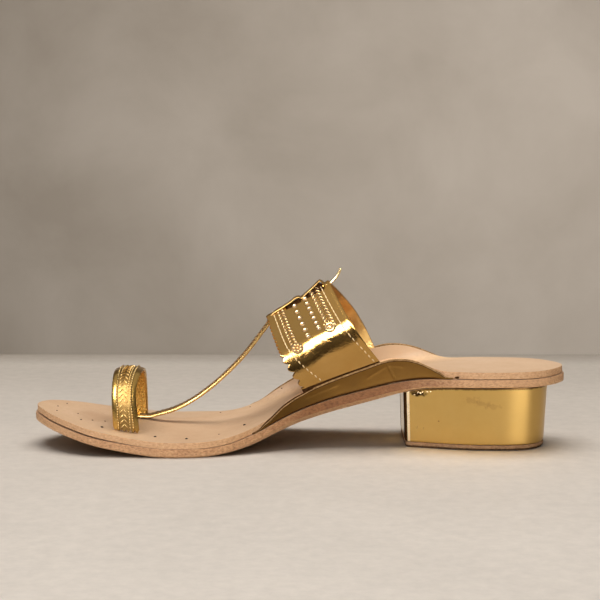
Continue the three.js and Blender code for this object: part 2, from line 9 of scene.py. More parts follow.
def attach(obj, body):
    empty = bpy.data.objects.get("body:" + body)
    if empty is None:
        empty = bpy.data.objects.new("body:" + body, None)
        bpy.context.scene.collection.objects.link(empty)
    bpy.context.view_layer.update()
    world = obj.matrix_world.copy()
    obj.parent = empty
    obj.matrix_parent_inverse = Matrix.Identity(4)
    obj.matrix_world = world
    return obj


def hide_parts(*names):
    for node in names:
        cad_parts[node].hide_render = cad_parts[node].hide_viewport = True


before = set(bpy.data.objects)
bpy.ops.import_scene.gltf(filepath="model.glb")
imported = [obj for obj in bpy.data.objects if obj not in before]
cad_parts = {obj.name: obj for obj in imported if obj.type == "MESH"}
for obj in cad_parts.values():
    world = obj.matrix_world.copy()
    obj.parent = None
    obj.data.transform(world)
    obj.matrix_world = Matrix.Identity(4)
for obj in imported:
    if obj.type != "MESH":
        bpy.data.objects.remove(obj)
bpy.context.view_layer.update()        # one body, seven solids

mm = 0.001               # sizes below are in millimetres
sides = {"medial": -1, "lateral": 1}


# small tools for every piece

def slopesOf(rows):
    # keys and values of (key, value) rows, and the slopes between them
    keys, values = zip(*rows)
    slopes = [(values[i + 1] - values[i]) / (keys[i + 1] - keys[i]) for i in range(len(keys) - 1)]
    return keys, values, slopes


def stretchAt(keys, key):
    # number of the stretch between two keys that holds this one
    i = 0
    while i < len(keys) - 2 and key > keys[i + 1]:
        i += 1
    return i


def curveThrough(rows):
    # smooth curve through the rows that never overshoots them
    keys, values, slopes = slopesOf(rows)
    tangents = [0.0] * len(keys)
    for i in range(len(keys)):
        before = slopes[max(i - 1, 0)]
        after = slopes[min(i, len(slopes) - 1)]
        if before * after > 0:
            tangents[i] = 2 * before * after / (before + after)

    def at(key):
        i = stretchAt(keys, key)
        span = keys[i + 1] - keys[i]
        t = min(max((key - keys[i]) / span, 0), 1)
        near = (1 + 2 * t) * (1 - t) ** 2 * values[i] + t * (1 - t) ** 2 * span * tangents[i]
        far = t * t * (3 - 2 * t) * values[i + 1] + t * t * (t - 1) * span * tangents[i + 1]
        return near + far

    return at


def splineThrough(rows):
    # curve through the rows with even bending, for faces that mirror the room
    keys, values, slopes = slopesOf(rows)
    count = len(keys)
    spans = [keys[i + 1] - keys[i] for i in range(count - 1)]
    weights = [0.0] * count
    loads = [0.0] * count
    for i in range(1, count - 1):
        pivot = 2 * (spans[i - 1] + spans[i]) - spans[i - 1] * weights[i - 1]
        weights[i] = spans[i] / pivot
        loads[i] = (6 * (slopes[i] - slopes[i - 1]) - spans[i - 1] * loads[i - 1]) / pivot
    bends = [0.0] * count
    for i in range(count - 2, 0, -1):
        bends[i] = loads[i] - weights[i] * bends[i + 1]

    def at(key):
        i = stretchAt(keys, key)
        span = spans[i]
        before = keys[i + 1] - key
        after = key - keys[i]
        curved = (bends[i] * before ** 3 + bends[i + 1] * after ** 3) / (6 * span)
        start = (values[i] / span - bends[i] * span / 6) * before
        end = (values[i + 1] / span - bends[i + 1] * span / 6) * after
        return curved + start + end

    return at


def columnCurve(rows, column, curve=curveThrough):
    # curve through one column of a table, by its first column
    return curve([(row[0], row[column]) for row in rows])


def reachesAlong(points):
    # length from the first point to each point of a path
    reaches = [0.0]
    for before, after in zip(points, points[1:]):
        reaches.append(reaches[-1] + (after - before).length)
    return reaches


def mix(a, b, share):
    return a + (b - a) * share


def clamp(value, low=0.0, high=1.0):
    return min(max(value, low), high)


def smoothStep(value, start, end):
    t = clamp((value - start) / (end - start))
    return t * t * (3 - 2 * t)


def hump(value, centre, halfWidth):
    # soft ridge of height 1
    return math.exp(-((value - centre) / halfWidth) ** 2)


def wave(value):
    # triangle wave from 0 at whole numbers to 1 between them
    return 1 - abs(2 * (value % 1) - 1)


def creaseAt(point, creases):
    # height of listed creases at (x, y) of a flat sheet: troughs are negative
    total = 0.0
    for (startX, startY), (endX, endY), height, width in creases:
        runX, runY = endX - startX, endY - startY
        share = ((point[0] - startX) * runX + (point[1] - startY) * runY) / (runX ** 2 + runY ** 2)
        share = clamp(share)
        away = math.hypot(point[0] - startX - runX * share, point[1] - startY - runY * share)
        total += height * hump(away, 0, width)
    return total


def gridInto(bm, columns, rows, place, closed=False):
    # lays a flat grid over the surface place(u, v), with u and v from 0 to 1, sizes in millimetres
    uvLayer = bm.loops.layers.uv.verify()
    made = bmesh.ops.create_grid(bm, x_segments=columns, y_segments=rows, size=1.0)["verts"]
    for vert in made:
        u = (vert.co.x + 1) / 2
        v = (vert.co.y + 1) / 2
        vert.co = place(u, v) * mm
        for loop in vert.link_loops:
            loop[uvLayer].uv = (u, v)
    if closed:
        bmesh.ops.remove_doubles(bm, verts=made, dist=0.002 * mm)


def tubeInto(bm, steps, ringSides, spine, section):
    # strip along spine(share), which gives its middle, two directions and its half width and thickness
    loop = section + [(-wide, thick) for wide, thick in reversed(section[1:-1])] + section[:1]
    rows = [(i / (len(loop) - 1), *point) for i, point in enumerate(loop)]
    wideAt, thickAt = columnCurve(rows, 1), columnCurve(rows, 2)

    def place(u, v):
        middle, sideways, upward, wide, thick = spine(u)
        return middle + sideways * (wide * wideAt(v)) + upward * (thick * thickAt(v))

    gridInto(bm, steps, ringSides, place, closed=True)
    openEdges = [edge for edge in bm.edges if edge.is_boundary]
    bmesh.ops.holes_fill(bm, edges=openEdges, sides=0)


def bumpInto(bm, point, along, normal, length, width, height, detail=2):
    # low oval bump on a surface
    along = (along - normal * along.dot(normal)).normalized()
    across = normal.cross(along)
    axes = Matrix((along * length / 2, across * width / 2, normal * height)).transposed().to_4x4()
    place = Matrix.Translation(point * mm) @ Matrix.Scale(mm, 4) @ axes
    bmesh.ops.create_icosphere(bm, subdivisions=detail, radius=1, matrix=place)


def roundelInto(bm, centre, along, normal, radius, tube):
    # raised ring lying on a surface
    across = normal.cross(along)

    def place(u, v):
        turn, curl = 2 * math.pi * u, 2 * math.pi * v
        spoke = along * math.cos(turn) + across * math.sin(turn)
        return centre + spoke * (radius + tube * math.cos(curl)) + normal * tube * math.sin(curl)

    gridInto(bm, 28, 10, place, closed=True)


def turned(along, normal, degrees):
    return Matrix.Rotation(math.radians(degrees), 3, normal) @ along


def outwards(bm):
    bmesh.ops.recalc_face_normals(bm, faces=bm.faces)


shoePieces = bpy.data.collections.new("shoe_pieces")     # lit by the front fill


def objectFrom(bm, name, materials):
    mesh = bpy.data.meshes.new(name)
    bm.to_mesh(mesh)
    bm.free()
    for material in materials:
        mesh.materials.append(material)
    made = bpy.data.objects.new(name, mesh)
    bpy.context.scene.collection.objects.link(made)
    return made


def newPiece(bm, name, node, materials):
    piece = objectFrom(bm, name, materials)
    faces = piece.data.polygons
    faces.foreach_set("use_smooth", [True] * len(faces))
    shoePieces.objects.link(piece)
    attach(piece, "root")
    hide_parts(node)
    print("made", name, len(faces), "faces")
    return piece


def addModifier(piece, kind, **settings):
    modifier = piece.modifiers.new(kind.title(), kind)
    for key, value in settings.items():
        setattr(modifier, key, value)


def smoothOut(piece, levels=2):
    addModifier(piece, "SUBSURF", levels=levels, render_levels=levels)


def thicken(piece, wall, rounding, sharp, **offsets):
    # gives a sheet its wall, with slightly rounded edges
    addModifier(piece, "SOLIDIFY", thickness=wall * mm, offset=-1, **offsets)
    addModifier(piece, "BEVEL", width=rounding * mm, segments=2, limit_method="ANGLE", angle_limit=sharp)


def rowOf(face, uvLayer):
    # how far up its sheet a face lies, from 0 to 1
    return sum(loop[uvLayer].uv.y for loop in face.loops) / len(face.loops)


# materials

def plug(tree, node, sockets):
    # links or sets a node's sockets by name
    for key, value in sockets.items():
        if isinstance(value, bpy.types.NodeSocket):
            tree.links.new(value, node.inputs[key])
        else:
            node.inputs[key].default_value = value


def newMaterial(name, sockets):
    material = bpy.data.materials.new(name)
    material.use_nodes = True
    tree = material.node_tree
    shader = tree.nodes["Principled BSDF"]
    plug(tree, shader, sockets)
    return material, tree, shader


def addNode(tree, kind, sockets, **settings):
    made = tree.nodes.new(kind)
    for key, value in settings.items():
        setattr(made, key, value)
    plug(tree, made, sockets)
    return made


def objectCoords(tree, scale=(1, 1, 1)):
    coords = addNode(tree, "ShaderNodeTexCoord", {})
    mapping = addNode(tree, "ShaderNodeMapping", {"Vector": coords.outputs["Object"], "Scale": scale})
    return mapping.outputs["Vector"]


def axisOf(tree, coords, axis):
    return addNode(tree, "ShaderNodeSeparateXYZ", {"Vector": coords}).outputs[axis]


def noiseOf(tree, coords, scale, detail=4, roughness=0.55, distortion=0.0):
    sockets = {"Vector": coords, "Scale": scale, "Detail": detail, "Roughness": roughness}
    sockets["Distortion"] = distortion
    return addNode(tree, "ShaderNodeTexNoise", sockets).outputs["Fac"]


def cellsOf(tree, coords, scale):
    return addNode(tree, "ShaderNodeTexVoronoi", {"Vector": coords, "Scale": scale}).outputs["Distance"]


def rampOf(tree, value, stops):
    ramp = addNode(tree, "ShaderNodeValToRGB", {"Fac": value})
    elements = ramp.color_ramp.elements
    while len(elements) < len(stops):
        elements.new(0.5)
    for element, (position, colour) in zip(elements, stops):
        element.position = position
        element.color = (*colour, 1)
    return ramp.outputs["Color"]


def rangeOf(tree, value, fromLow, fromHigh, toLow, toHigh):
    sockets = {"Value": value, "From Min": fromLow, "From Max": fromHigh, "To Min": toLow, "To Max": toHigh}
    return addNode(tree, "ShaderNodeMapRange", sockets).outputs["Result"]


def mixColours(tree, share, first, second, blend="MIX"):
    colours = [value if isinstance(value, bpy.types.NodeSocket) else (*value, 1) for value in (first, second)]
    sockets = {0: share, 6: colours[0], 7: colours[1]}
    return addNode(tree, "ShaderNodeMix", sockets, data_type="RGBA", blend_type=blend).outputs[2]


def mathOf(tree, operation, first, second):
    return addNode(tree, "ShaderNodeMath", {0: first, 1: second}, operation=operation).outputs[0]


def bumpOf(tree, height, strength, distance, under=None):
    sockets = {"Height": height, "Strength": strength, "Distance": distance * mm}
    if under:
        sockets["Normal"] = under
    return addNode(tree, "ShaderNodeBump", sockets).outputs["Normal"]


def spotOf(tree, coords, centre, radius, ragged):
    # 1 inside a ragged round mark on the surface, 0 outside, sizes in millimetres
    shifted = addNode(tree, "ShaderNodeMapping", {
        "Vector": coords, "Location": tuple(-c * mm / r for c, r in zip(centre, radius)),
        "Scale": tuple(1 / r for r in radius)}).outputs["Vector"]
    away = addNode(tree, "ShaderNodeVectorMath", {0: shifted}, operation="LENGTH").outputs["Value"]
    frayed = rangeOf(tree, noiseOf(tree, coords, 700, detail=5), 0, 1, -ragged * mm, ragged * mm)
    return rangeOf(tree, mathOf(tree, "ADD", away, frayed), 0.6 * mm, 1.1 * mm, 1.0, 0.0)


def marked(tree, coords, colour, marks):
    # colour with listed marks over it: centre, radius, raggedness, strength and tone of each
    for centre, radius, ragged, strength, tone in marks:
        share = spotOf(tree, coords, centre, radius, ragged)
        colour = mixColours(tree, mathOf(tree, "MULTIPLY", share, strength), colour, tone)
    return colour


def topLineOf(tree, coords, ragged, line):
    # 1 along a sloping upper edge given as (x, z) rows in millimetres
    along, height = axisOf(tree, coords, "X"), axisOf(tree, coords, "Z")
    for (startX, startZ), (endX, endZ) in zip(line, line[1:]):
        rise = rangeOf(tree, along, startX * mm, endX * mm, 0.0, (endZ - startZ) * mm)
        height = mathOf(tree, "SUBTRACT", height, rise)
    height = mathOf(tree, "ADD", height, rangeOf(tree, ragged, 0.3, 0.7, -0.3 * mm, 0.3 * mm))
    top = line[0][1]
    return rangeOf(tree, height, (top - 1.1) * mm, (top - 0.5) * mm, 0.0, 1.0)


# leather: its two faces and its cut edges

leather = {"clouds": 26, "flecks": 420, "fleckMost": 0.3, "pores": 1500, "swell": 90, "rough": (0.62, 0.46)}
cutEdge = {
    "fibres": 1300, "drawnOut": (0.55, 0.55, 1), "stains": 110, "dents": 420,
    "waistFrom": (-20, 5), "waistTo": (45, 75),        # the waist's darker tone, partly the raw edge's own colour and partly painted shade under the ears, fades in and out here
}


def tanLeather(name, tone, marks=()):
    # vegetable tanned face: mottled, with fine pores and a few rubbed, glossier areas
    material, tree, shader = newMaterial(name, {"Specular IOR Level": 0.35})
    coords = objectCoords(tree)
    clouds = noiseOf(tree, coords, leather["clouds"], detail=5, roughness=0.6)
    flecks = noiseOf(tree, coords, leather["flecks"], detail=3)
    base = rampOf(tree, clouds, [(0.3, tone["shade"]), (0.55, tone["main"]), (0.75, tone["light"])])
    fleckShare = rangeOf(tree, flecks, 0.35, 0.75, 0.0, leather["fleckMost"])
    colour = marked(tree, coords, mixColours(tree, fleckShare, base, tone["fleck"]), marks)
    rough = rangeOf(tree, clouds, 0.3, 0.7, *leather["rough"])
    grain = bumpOf(tree, cellsOf(tree, coords, leather["pores"]), 0.25, 0.05)
    soft = bumpOf(tree, noiseOf(tree, coords, leather["swell"], detail=4), 0.3, 0.5, grain)
    plug(tree, shader, {"Base Color": colour, "Roughness": rough, "Normal": soft})
    return material


def rawEdge(name, dark, main, light, stain, shine=0.28, waist=None, marks=()):
    # cut edge of the hide: grainy, a little drawn out along the sheet, with darker stains
    material, tree, shader = newMaterial(name, {"Roughness": 0.7, "Specular IOR Level": shine})
    plain = objectCoords(tree)
    drawn = objectCoords(tree, cutEdge["drawnOut"])
    fibres = noiseOf(tree, drawn, cutEdge["fibres"], detail=5, roughness=0.7)
    patches = noiseOf(tree, plain, cutEdge["stains"], detail=5, roughness=0.7)
    base = rampOf(tree, fibres, [(0.33, dark), (0.48, main), (0.64, light)])
    colour = mixColours(tree, rangeOf(tree, patches, 0.42, 0.75, 0.0, stain), base, dark)
    # darker and redder along the waist: partly the edge's own colour, partly painted shade under the ears
    if waist:
        along = axisOf(tree, plain, "X")
        start = rangeOf(tree, along, *(x * mm for x in cutEdge["waistFrom"]), 0.0, 1.0)
        end = rangeOf(tree, along, *(x * mm for x in cutEdge["waistTo"]), 1.0, 0.0)
        colour = mixColours(tree, mathOf(tree, "MULTIPLY", start, end), colour, waist, "MULTIPLY")
    rough = bumpOf(tree, fibres, 0.45, 0.25)
    worn = bumpOf(tree, noiseOf(tree, plain, cutEdge["dents"], detail=5), 0.35, 0.25, rough)
    plug(tree, shader, {"Base Color": marked(tree, plain, colour, marks), "Normal": worn})
    return material


insoleLeather = tanLeather("insole_leather", {
    "shade": (0.445, 0.285, 0.168), "main": (0.505, 0.337, 0.206), "light": (0.555, 0.385, 0.25),
    "fleck": (0.37, 0.22, 0.12),
}, marks=(
    ((-99, -2, 9), (10, 17, 9), 0.3, 0.42, (0.3, 0.17, 0.09)),           # painted shade of a dent inside the toe
    ((95, 0, 36), (35, 25, 9), 0.3, 0.3, (0.6, 0.43, 0.29)),             # painted light: paler heel seat
    ((22, 27, 36), (70, 17, 24), 0.3, 0.65, (0.74, 0.50, 0.29)),         # painted light: paler lateral wing, lifting the shade on its inner face
))
soleLeather = tanLeather("outsole_tread_leather", {
    "shade": (0.36, 0.205, 0.11), "main": (0.46, 0.28, 0.16), "light": (0.52, 0.33, 0.2),
    "fleck": (0.24, 0.13, 0.065),
})
# cut edges: dark, main and light tone, strength of the stains
insoleEdge = rawEdge(
    "insole_cut_edge", (0.44, 0.245, 0.12), (0.595, 0.345, 0.175), (0.68, 0.43, 0.25), 0.3,
    marks=[((119, -8, 31), (7, 14, 5), 0.6, 0.35, (0.3, 0.13, 0.05))])   # rubbed at the heel
earLip = rawEdge(
    "ear_raw_edge", (0.13, 0.07, 0.028), (0.33, 0.195, 0.085), (0.46, 0.295, 0.14), 0.5, shine=0.0)
heelEdge = rawEdge(
    "heel_top_cut_edge", (0.17, 0.085, 0.035), (0.305, 0.163, 0.071), (0.39, 0.224, 0.109), 0.4)
# painted contact shadow: dark lower bevel and foot of the heel's top piece
paintedShadowEdge = rawEdge(
    "heel_top_painted_shadow_edge", (0.02, 0.01, 0.005), (0.06, 0.032, 0.015), (0.12, 0.065, 0.03), 0.4, shine=0.05)
outsoleEdge = rawEdge(
    "outsole_cut_edge", (0.26, 0.12, 0.055), (0.51, 0.272, 0.128), (0.64, 0.385, 0.205), 0.4,
    waist=(0.48, 0.36, 0.24), marks=(                                    # painted light: paler at toe and heel
        ((-110, -16, 11), (22, 20, 9), 0.4, 0.4, (0.66, 0.41, 0.22)),
        ((105, -20, 31), (36, 18, 7), 0.4, 0.35, (0.68, 0.42, 0.23))))
burnishedEdge = rawEdge(
    "outsole_burnished_bevel", (0.48, 0.26, 0.13), (0.66, 0.40, 0.215), (0.74, 0.48, 0.28), 0.3,
    waist=(0.85, 0.8, 0.75))


# gold foil: one row for each finish

foilScales = {"rubbed": 520, "grain": 1900, "hammered": 950}
foilColumns = ("gold", "shade", "bare", "wear", "smudgeScale", "rough", "gloss",
               "grain", "crumple", "crumpleScale")
bareFoil = (0.33, 0.17, 0.06)
foilRows = {
    "strap_foil": ((0.54, 0.318, 0.1), (0.48, 0.266, 0.07), bareFoil, 0.4, 60, 0.18, 0.1, 0.12, 0.1, 1000),
    "strap_lining_foil": (
        (0.78, 0.51, 0.19), (0.66, 0.40, 0.12), (0.38, 0.19, 0.055), 0.6, 90, 0.4, 0.24, 0.3, 0.3, 520),
    "trim_foil": (
        (0.80, 0.585, 0.30), (0.68, 0.46, 0.21), (0.36, 0.19, 0.07), 0.2, 150, 0.32, 0.22, 0.08, 0.08, 900),
    # paler copy of the gold: painted glints on the domes and the heel's folds, and a painted highlight on the
    # heel's corner
    "painted_glint_foil": (
        (0.95, 0.79, 0.54), (0.88, 0.69, 0.42), (0.5, 0.3, 0.12), 0.1, 150, 0.32, 0.24, 0.05, 0.05, 900),
    # dark foil: the thong's serrated strip, and the painted shadows under the band's ornament
    "dark_strip_and_painted_shadow_foil": (
        (0.19, 0.11, 0.038), (0.1, 0.055, 0.02), (0.05, 0.025, 0.01), 0.8, 220, 0.6, 0.45, 0.3, 0.2, 900),
    "thong_foil": ((0.74, 0.49, 0.19), (0.63, 0.4, 0.135), bareFoil, 0.3, 120, 0.3, 0.23, 0.08, 0.05, 800),
    "woven_thong_foil": (
        (0.34, 0.215, 0.075), (0.23, 0.135, 0.045), (0.1, 0.05, 0.02), 0.5, 200, 0.45, 0.34, 0.2, 0.1, 700),
    "toe_ring_foil": (
        (0.51, 0.318, 0.091), (0.445, 0.263, 0.065), bareFoil, 0.4, 90, 0.3, 0.22, 0.2, 0.1, 800),
    "toe_ring_lining_foil": (
        (0.74, 0.46, 0.105), (0.63, 0.365, 0.07), (0.34, 0.16, 0.045), 0.4, 120, 0.3, 0.2, 0.2, 0.2, 700),
    "toe_ring_panel_foil": (
        (0.25, 0.155, 0.05), (0.17, 0.1, 0.03), (0.1, 0.05, 0.018), 0.5, 260, 0.5, 0.4, 0.2, 0.12, 900),
    "toe_ring_trim_foil": (
        (0.68, 0.48, 0.21), (0.54, 0.36, 0.135), (0.2, 0.1, 0.035), 0.3, 200, 0.36, 0.27, 0.1, 0.08, 900),
    # darker copy of the gold: painted dark reflection on the ears
    "ear_foil": (
        (0.19, 0.096, 0.024), (0.165, 0.08, 0.018), (0.12, 0.06, 0.02), 0.3, 70, 0.4, 0.32, 0.15, 0.08, 260),
    "heel_foil": (
        (0.545, 0.35, 0.11), (0.51, 0.322, 0.095), (0.30, 0.17, 0.06), 0.2, 45, 0.34, 0.27, 0.06, 0.05, 120),
    "heel_breast_foil": (
        (0.55, 0.36, 0.12), (0.48, 0.3, 0.09), (0.2, 0.11, 0.045), 0.3, 60, 0.17, 0.12, 0.06, 0.05, 120),
}
smudgeTone = (0.3, 0.17, 0.06)
foilExtras = {
    "strap_lining_foil": {
        "metal": 0.85,
        "marks": [((16, 14, 72), (10, 13, 10), 0.3, 0.75, (0.22, 0.1, 0.025))],      # painted shade inside, under the crown
    },
    "dark_strip_and_painted_shadow_foil": {"metal": 0.4},
    "toe_ring_lining_foil": {"metal": 0.7, "hammered": 0.7},
    "heel_foil": {
        # painted shadow: a dark line along the top, under the outsole
        "shadowLine": ((52.7, 27), (57, 28), (70, 29), (100, 29.4)), "shadowTone": (0.13, 0.07, 0.025),
        "marks": (                                # crumpled corner, smudges, a pit
            ((54.8, -21, 25.7), (4.4, 9, 1.7), 0.7, 1.0, (0.035, 0.016, 0.006)),
            ((79, -23, 23.6), (4, 9, 1.5), 1.5, 0.3, smudgeTone),
            ((84.5, -23, 22), (4.4, 9, 1.4), 1.5, 0.3, smudgeTone),
            ((89.5, -23, 20.8), (4, 9, 1.3), 1.5, 0.24, smudgeTone),
            ((64.4, -22, 13.1), (0.45, 9, 0.45), 0.2, 0.8, (0.2, 0.1, 0.04)),
        ),
    },
}


def goldFoil(name):
    # metal foil on leather: mirror-like, with small crumples, dulled smudges and rubbed flecks
    look = dict(zip(foilColumns, foilRows[name]))
    extra = foilExtras.get(name, {})
    material, tree, shader = newMaterial(name, {"Metallic": extra.get("metal", 1.0)})
    coords = objectCoords(tree)
    smudges = noiseOf(tree, coords, look["smudgeScale"], detail=5, roughness=0.65)
    worn = noiseOf(tree, coords, foilScales["rubbed"], detail=6, roughness=0.7)
    base = rampOf(tree, smudges, [(0.3, look["shade"]), (0.6, look["gold"])])
    wear = rangeOf(tree, worn, 0.64, 0.78, 0.0, look["wear"])
    colour = mixColours(tree, wear, base, look["bare"])
    rough = rangeOf(tree, smudges, 0.35, 0.7, look["rough"], look["gloss"])
    grain = bumpOf(tree, noiseOf(tree, coords, foilScales["grain"], detail=3), look["grain"], 0.06)
    crumple = noiseOf(tree, coords, look["crumpleScale"], detail=3, roughness=0.5, distortion=0.4)
    relief = bumpOf(tree, crumple, look["crumple"], 0.5, grain)
    if "hammered" in extra:
        relief = bumpOf(tree, cellsOf(tree, coords, foilScales["hammered"]), extra["hammered"], 0.5, relief)
    # painted shadow along the top line
    if "shadowLine" in extra:
        colour = mixColours(tree, topLineOf(tree, coords, worn, extra["shadowLine"]), colour, extra["shadowTone"])
    colour = marked(tree, coords, colour, extra.get("marks", ()))
    plug(tree, shader, {"Base Color": colour, "Roughness": rough, "Normal": relief})
    return material


finishes = {name: goldFoil(name) for name in foilRows}


def threadMaterial():
    # pale waxed thread with a fine twist
    material, tree, shader = newMaterial("waxed_thread", {"Metallic": 0.15, "Roughness": 0.42})
    twist = noiseOf(tree, objectCoords(tree), 2600, detail=2)
    tone = rampOf(tree, twist, [(0.35, (0.74, 0.54, 0.27)), (0.65, (0.92, 0.74, 0.45))])
    plug(tree, shader, {"Base Color": tone, "Normal": bumpOf(tree, twist, 0.4, 0.08)})
    return material


def dustyShade(name, scale, stops, rough, shine):
    # dark and dull, a little mottled
    material, tree, shader = newMaterial(name, {"Roughness": rough, "Specular IOR Level": shine})
    mottle = noiseOf(tree, objectCoords(tree), scale)
    plug(tree, shader, {"Base Color": rampOf(tree, mottle, stops)})
    return material


finishes["waxed_thread"] = threadMaterial()
seamShade = dustyShade(               # painted shade in seams, slots and gaps, and the dark reflection on the heel's corners
    "seam_shade", 800, [(0.3, (0.035, 0.014, 0.005)), (0.7, (0.085, 0.038, 0.014))], 1, 0)
finishes["seam_shade"] = seamShade
nailIron = dustyShade(
    "nail_iron", 900, [(0.35, (0.01, 0.005, 0.003)), (0.7, (0.03, 0.015, 0.008))], 0.8, 0.2)
print("materials ready")


def strapPiece(bm, name, *names):
    # piece of the straps, with its finishes by name
    return newPiece(bm, name, "upper", [finishes[finish] for finish in names])


# soles: the CAD sheets with rounded edges

soles = {
    "edgeAngle": 35,          # sharper than this is an edge of the sheet
    "bevelDown": -0.35,       # faces that look down more than this are the bevel
    "flatDown": -0.9,         # and more than this the lower face
    "insoleRound": (1.4, 0.35),    # upper edge, other edges
    "outsoleRound": (0.3, 0.3),
    "topPieceRound": (0.4, 0.4),
    "paintedShadowBelow": 0.85,        # painted contact shadow along the foot of the top piece
    "closedFrom": -78,        # the two sheets are glued tight along the ball
    "closedTo": -44,
    "closedRise": 0.27, "closedFade": 6,
    "toeOpen": -84,           # and part a little, unevenly, in front of this
    "openDrop": 0.3, "openFade": 8, "openWave": (0.7, 0.3, 0.8),
    "broadFaces": 40,         # the upper and lower faces are looked for among these
}


def copyOfNode(name):
    bm = bmesh.new()
    bm.from_mesh(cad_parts[name].data)
    bmesh.ops.remove_doubles(bm, verts=bm.verts, dist=0.001 * mm)
    bmesh.ops.join_triangles(
        bm, faces=bm.faces, angle_face_threshold=math.radians(30), angle_shape_threshold=math.radians(170))
    bm.normal_update()
    return bm


def surfaceOf(name):
    bm = copyOfNode(name)
    tree = BVHTree.FromBMesh(bm)
    bm.free()
    return tree


def smoothRegion(seed, limit):
    # faces reached from the seed without crossing a sharp edge
    region = {seed}
    queue = [seed]
    while queue:
        for edge in queue.pop().edges:
            if edge.calc_face_angle(math.pi) > limit:
                continue
            for face in edge.link_faces:
                if face not in region:
                    region.add(face)
                    queue.append(face)
    return region


def bevelEdges(bm, edges, offset, segments):
    bmesh.ops.bevel(
        bm, geom=edges, offset=offset * mm, offset_type="OFFSET", affect="EDGES",
        segments=segments, profile=0.5, material=-1, clamp_overlap=True)


def roundEdges(bm, offset, angle, segments=2):
    limit = math.radians(angle)
    bevelEdges(bm, [edge for edge in bm.edges if edge.calc_face_angle(0) > limit], offset, segments)


def cutBy(bm, point, normal):
    # new edges where a plane meets the mesh
    everything = bm.verts[:] + bm.edges[:] + bm.faces[:]
    bmesh.ops.bisect_plane(bm, geom=everything, plane_co=point * mm, plane_no=normal)


def soleSheet(name, node, rounding, materials, closeSeam=False, paintedShadowBelow=0):
    # materials: upper face, cut edge, bevel, lower face
    bm = copyOfNode(node)
    limit = math.radians(soles["edgeAngle"])
    broad = sorted(bm.faces, key=lambda face: face.calc_area())[-soles["broadFaces"]:]
    top = smoothRegion(max(broad, key=lambda face: face.normal.z), limit)
    bottom = smoothRegion(min(broad, key=lambda face: face.normal.z), limit)
    for face in bm.faces:
        if face in top:
            face.material_index = 0
        elif face in bottom:
            face.material_index = 3
        else:
            face.material_index = 2 if face.normal.z < soles["bevelDown"] else 1
    if closeSeam:
        fade = soles["closedFade"]
        steady, swing, rate = soles["openWave"]
        for vert in {vert for face in top for vert in face.verts}:
            x = vert.co.x / mm
            glued = smoothStep(x, soles["closedFrom"] - fade, soles["closedFrom"] + fade)
            glued *= 1 - smoothStep(x, soles["closedTo"] - fade, soles["closedTo"] + fade)
            parted = 1 - smoothStep(x, soles["toeOpen"] - soles["openFade"], soles["toeOpen"])
            parted *= steady + swing * math.sin(rate * x)
            vert.co.z += (soles["closedRise"] * glued - soles["openDrop"] * parted) * mm
    sharp = [edge for edge in bm.edges if edge.calc_face_angle(0) > limit]
    rim = [edge for edge in sharp if any(face in top for face in edge.link_faces)]
    bevelEdges(bm, rim, rounding[0], 3)
    roundEdges(bm, rounding[1], soles["edgeAngle"], 3)
    bm.normal_update()
    for face in bm.faces:
        if face.material_index != 0 and soles["flatDown"] < face.normal.z < soles["bevelDown"]:
            face.material_index = 2
    # painted contact shadow: cut-edge faces below this height take the dark bevel finish
    if paintedShadowBelow:
        cutBy(bm, Vector((0, 0, paintedShadowBelow)), Vector((0, 0, 1)))
        for face in bm.faces:
            if face.material_index == 1 and face.calc_center_median().z < paintedShadowBelow * mm:
                face.material_index = 2
    piece = newPiece(bm, name, node, materials)
    smoothOut(piece)


soleSheet("insole_sheet", "insole", soles["insoleRound"],
          [insoleLeather, insoleEdge, insoleEdge, insoleLeather])
soleSheet("outsole_sheet", "outsole", soles["outsoleRound"],
          [soleLeather, outsoleEdge, burnishedEdge, soleLeather], closeSeam=True)
soleSheet("heel_top_sheet", "heel_top_piece", soles["topPieceRound"],
          [soleLeather, heelEdge, paintedShadowEdge, soleLeather], paintedShadowBelow=soles["paintedShadowBelow"])

insoleSurface = surfaceOf("insole")


def insoleTop(x, y):
    # height of the insole's upper face, sizes in millimetres
    hit = insoleSurface.ray_cast(Vector((x * mm, y * mm, 1)), Vector((0, 0, -1)))[0]
    return hit.z / mm


# heel block: foil wrapped over it, turned under in a hem, crumpled at one corner

heel = {
    "edgeRound": 0.7, "edgeAngle": 40,
    "topRound": 0.5, "topFacing": 0.8,   # the foil turns in under the outsole
    "breastFacing": -0.95, "cornerFacing": -0.4,     # faces that look forward more than this
    "cornerSplit": Vector((50.4, 0, 2.7)), "cornerLean": Vector((1, 0, 0.032)),    # corner: painted dark reflection, then painted bright highlight
    "hemDrop": 0.12, "hemOut": 0.12, "hemRise": 0.05,
    "folds": (                           # x, z, length, turn of each small fold at the crumpled corner
        (53.2, 25.0, 1.0, 20), (54.9, 26.1, 1.4, 60), (56.0, 25.9, 1.3, -40), (56.9, 26.5, 1.2, 20),
        (59.2, 26.7, 1.0, -20), (60.6, 26.9, 0.9, 10),
    ),
    "foldSize": (0.5, 0.28),
}

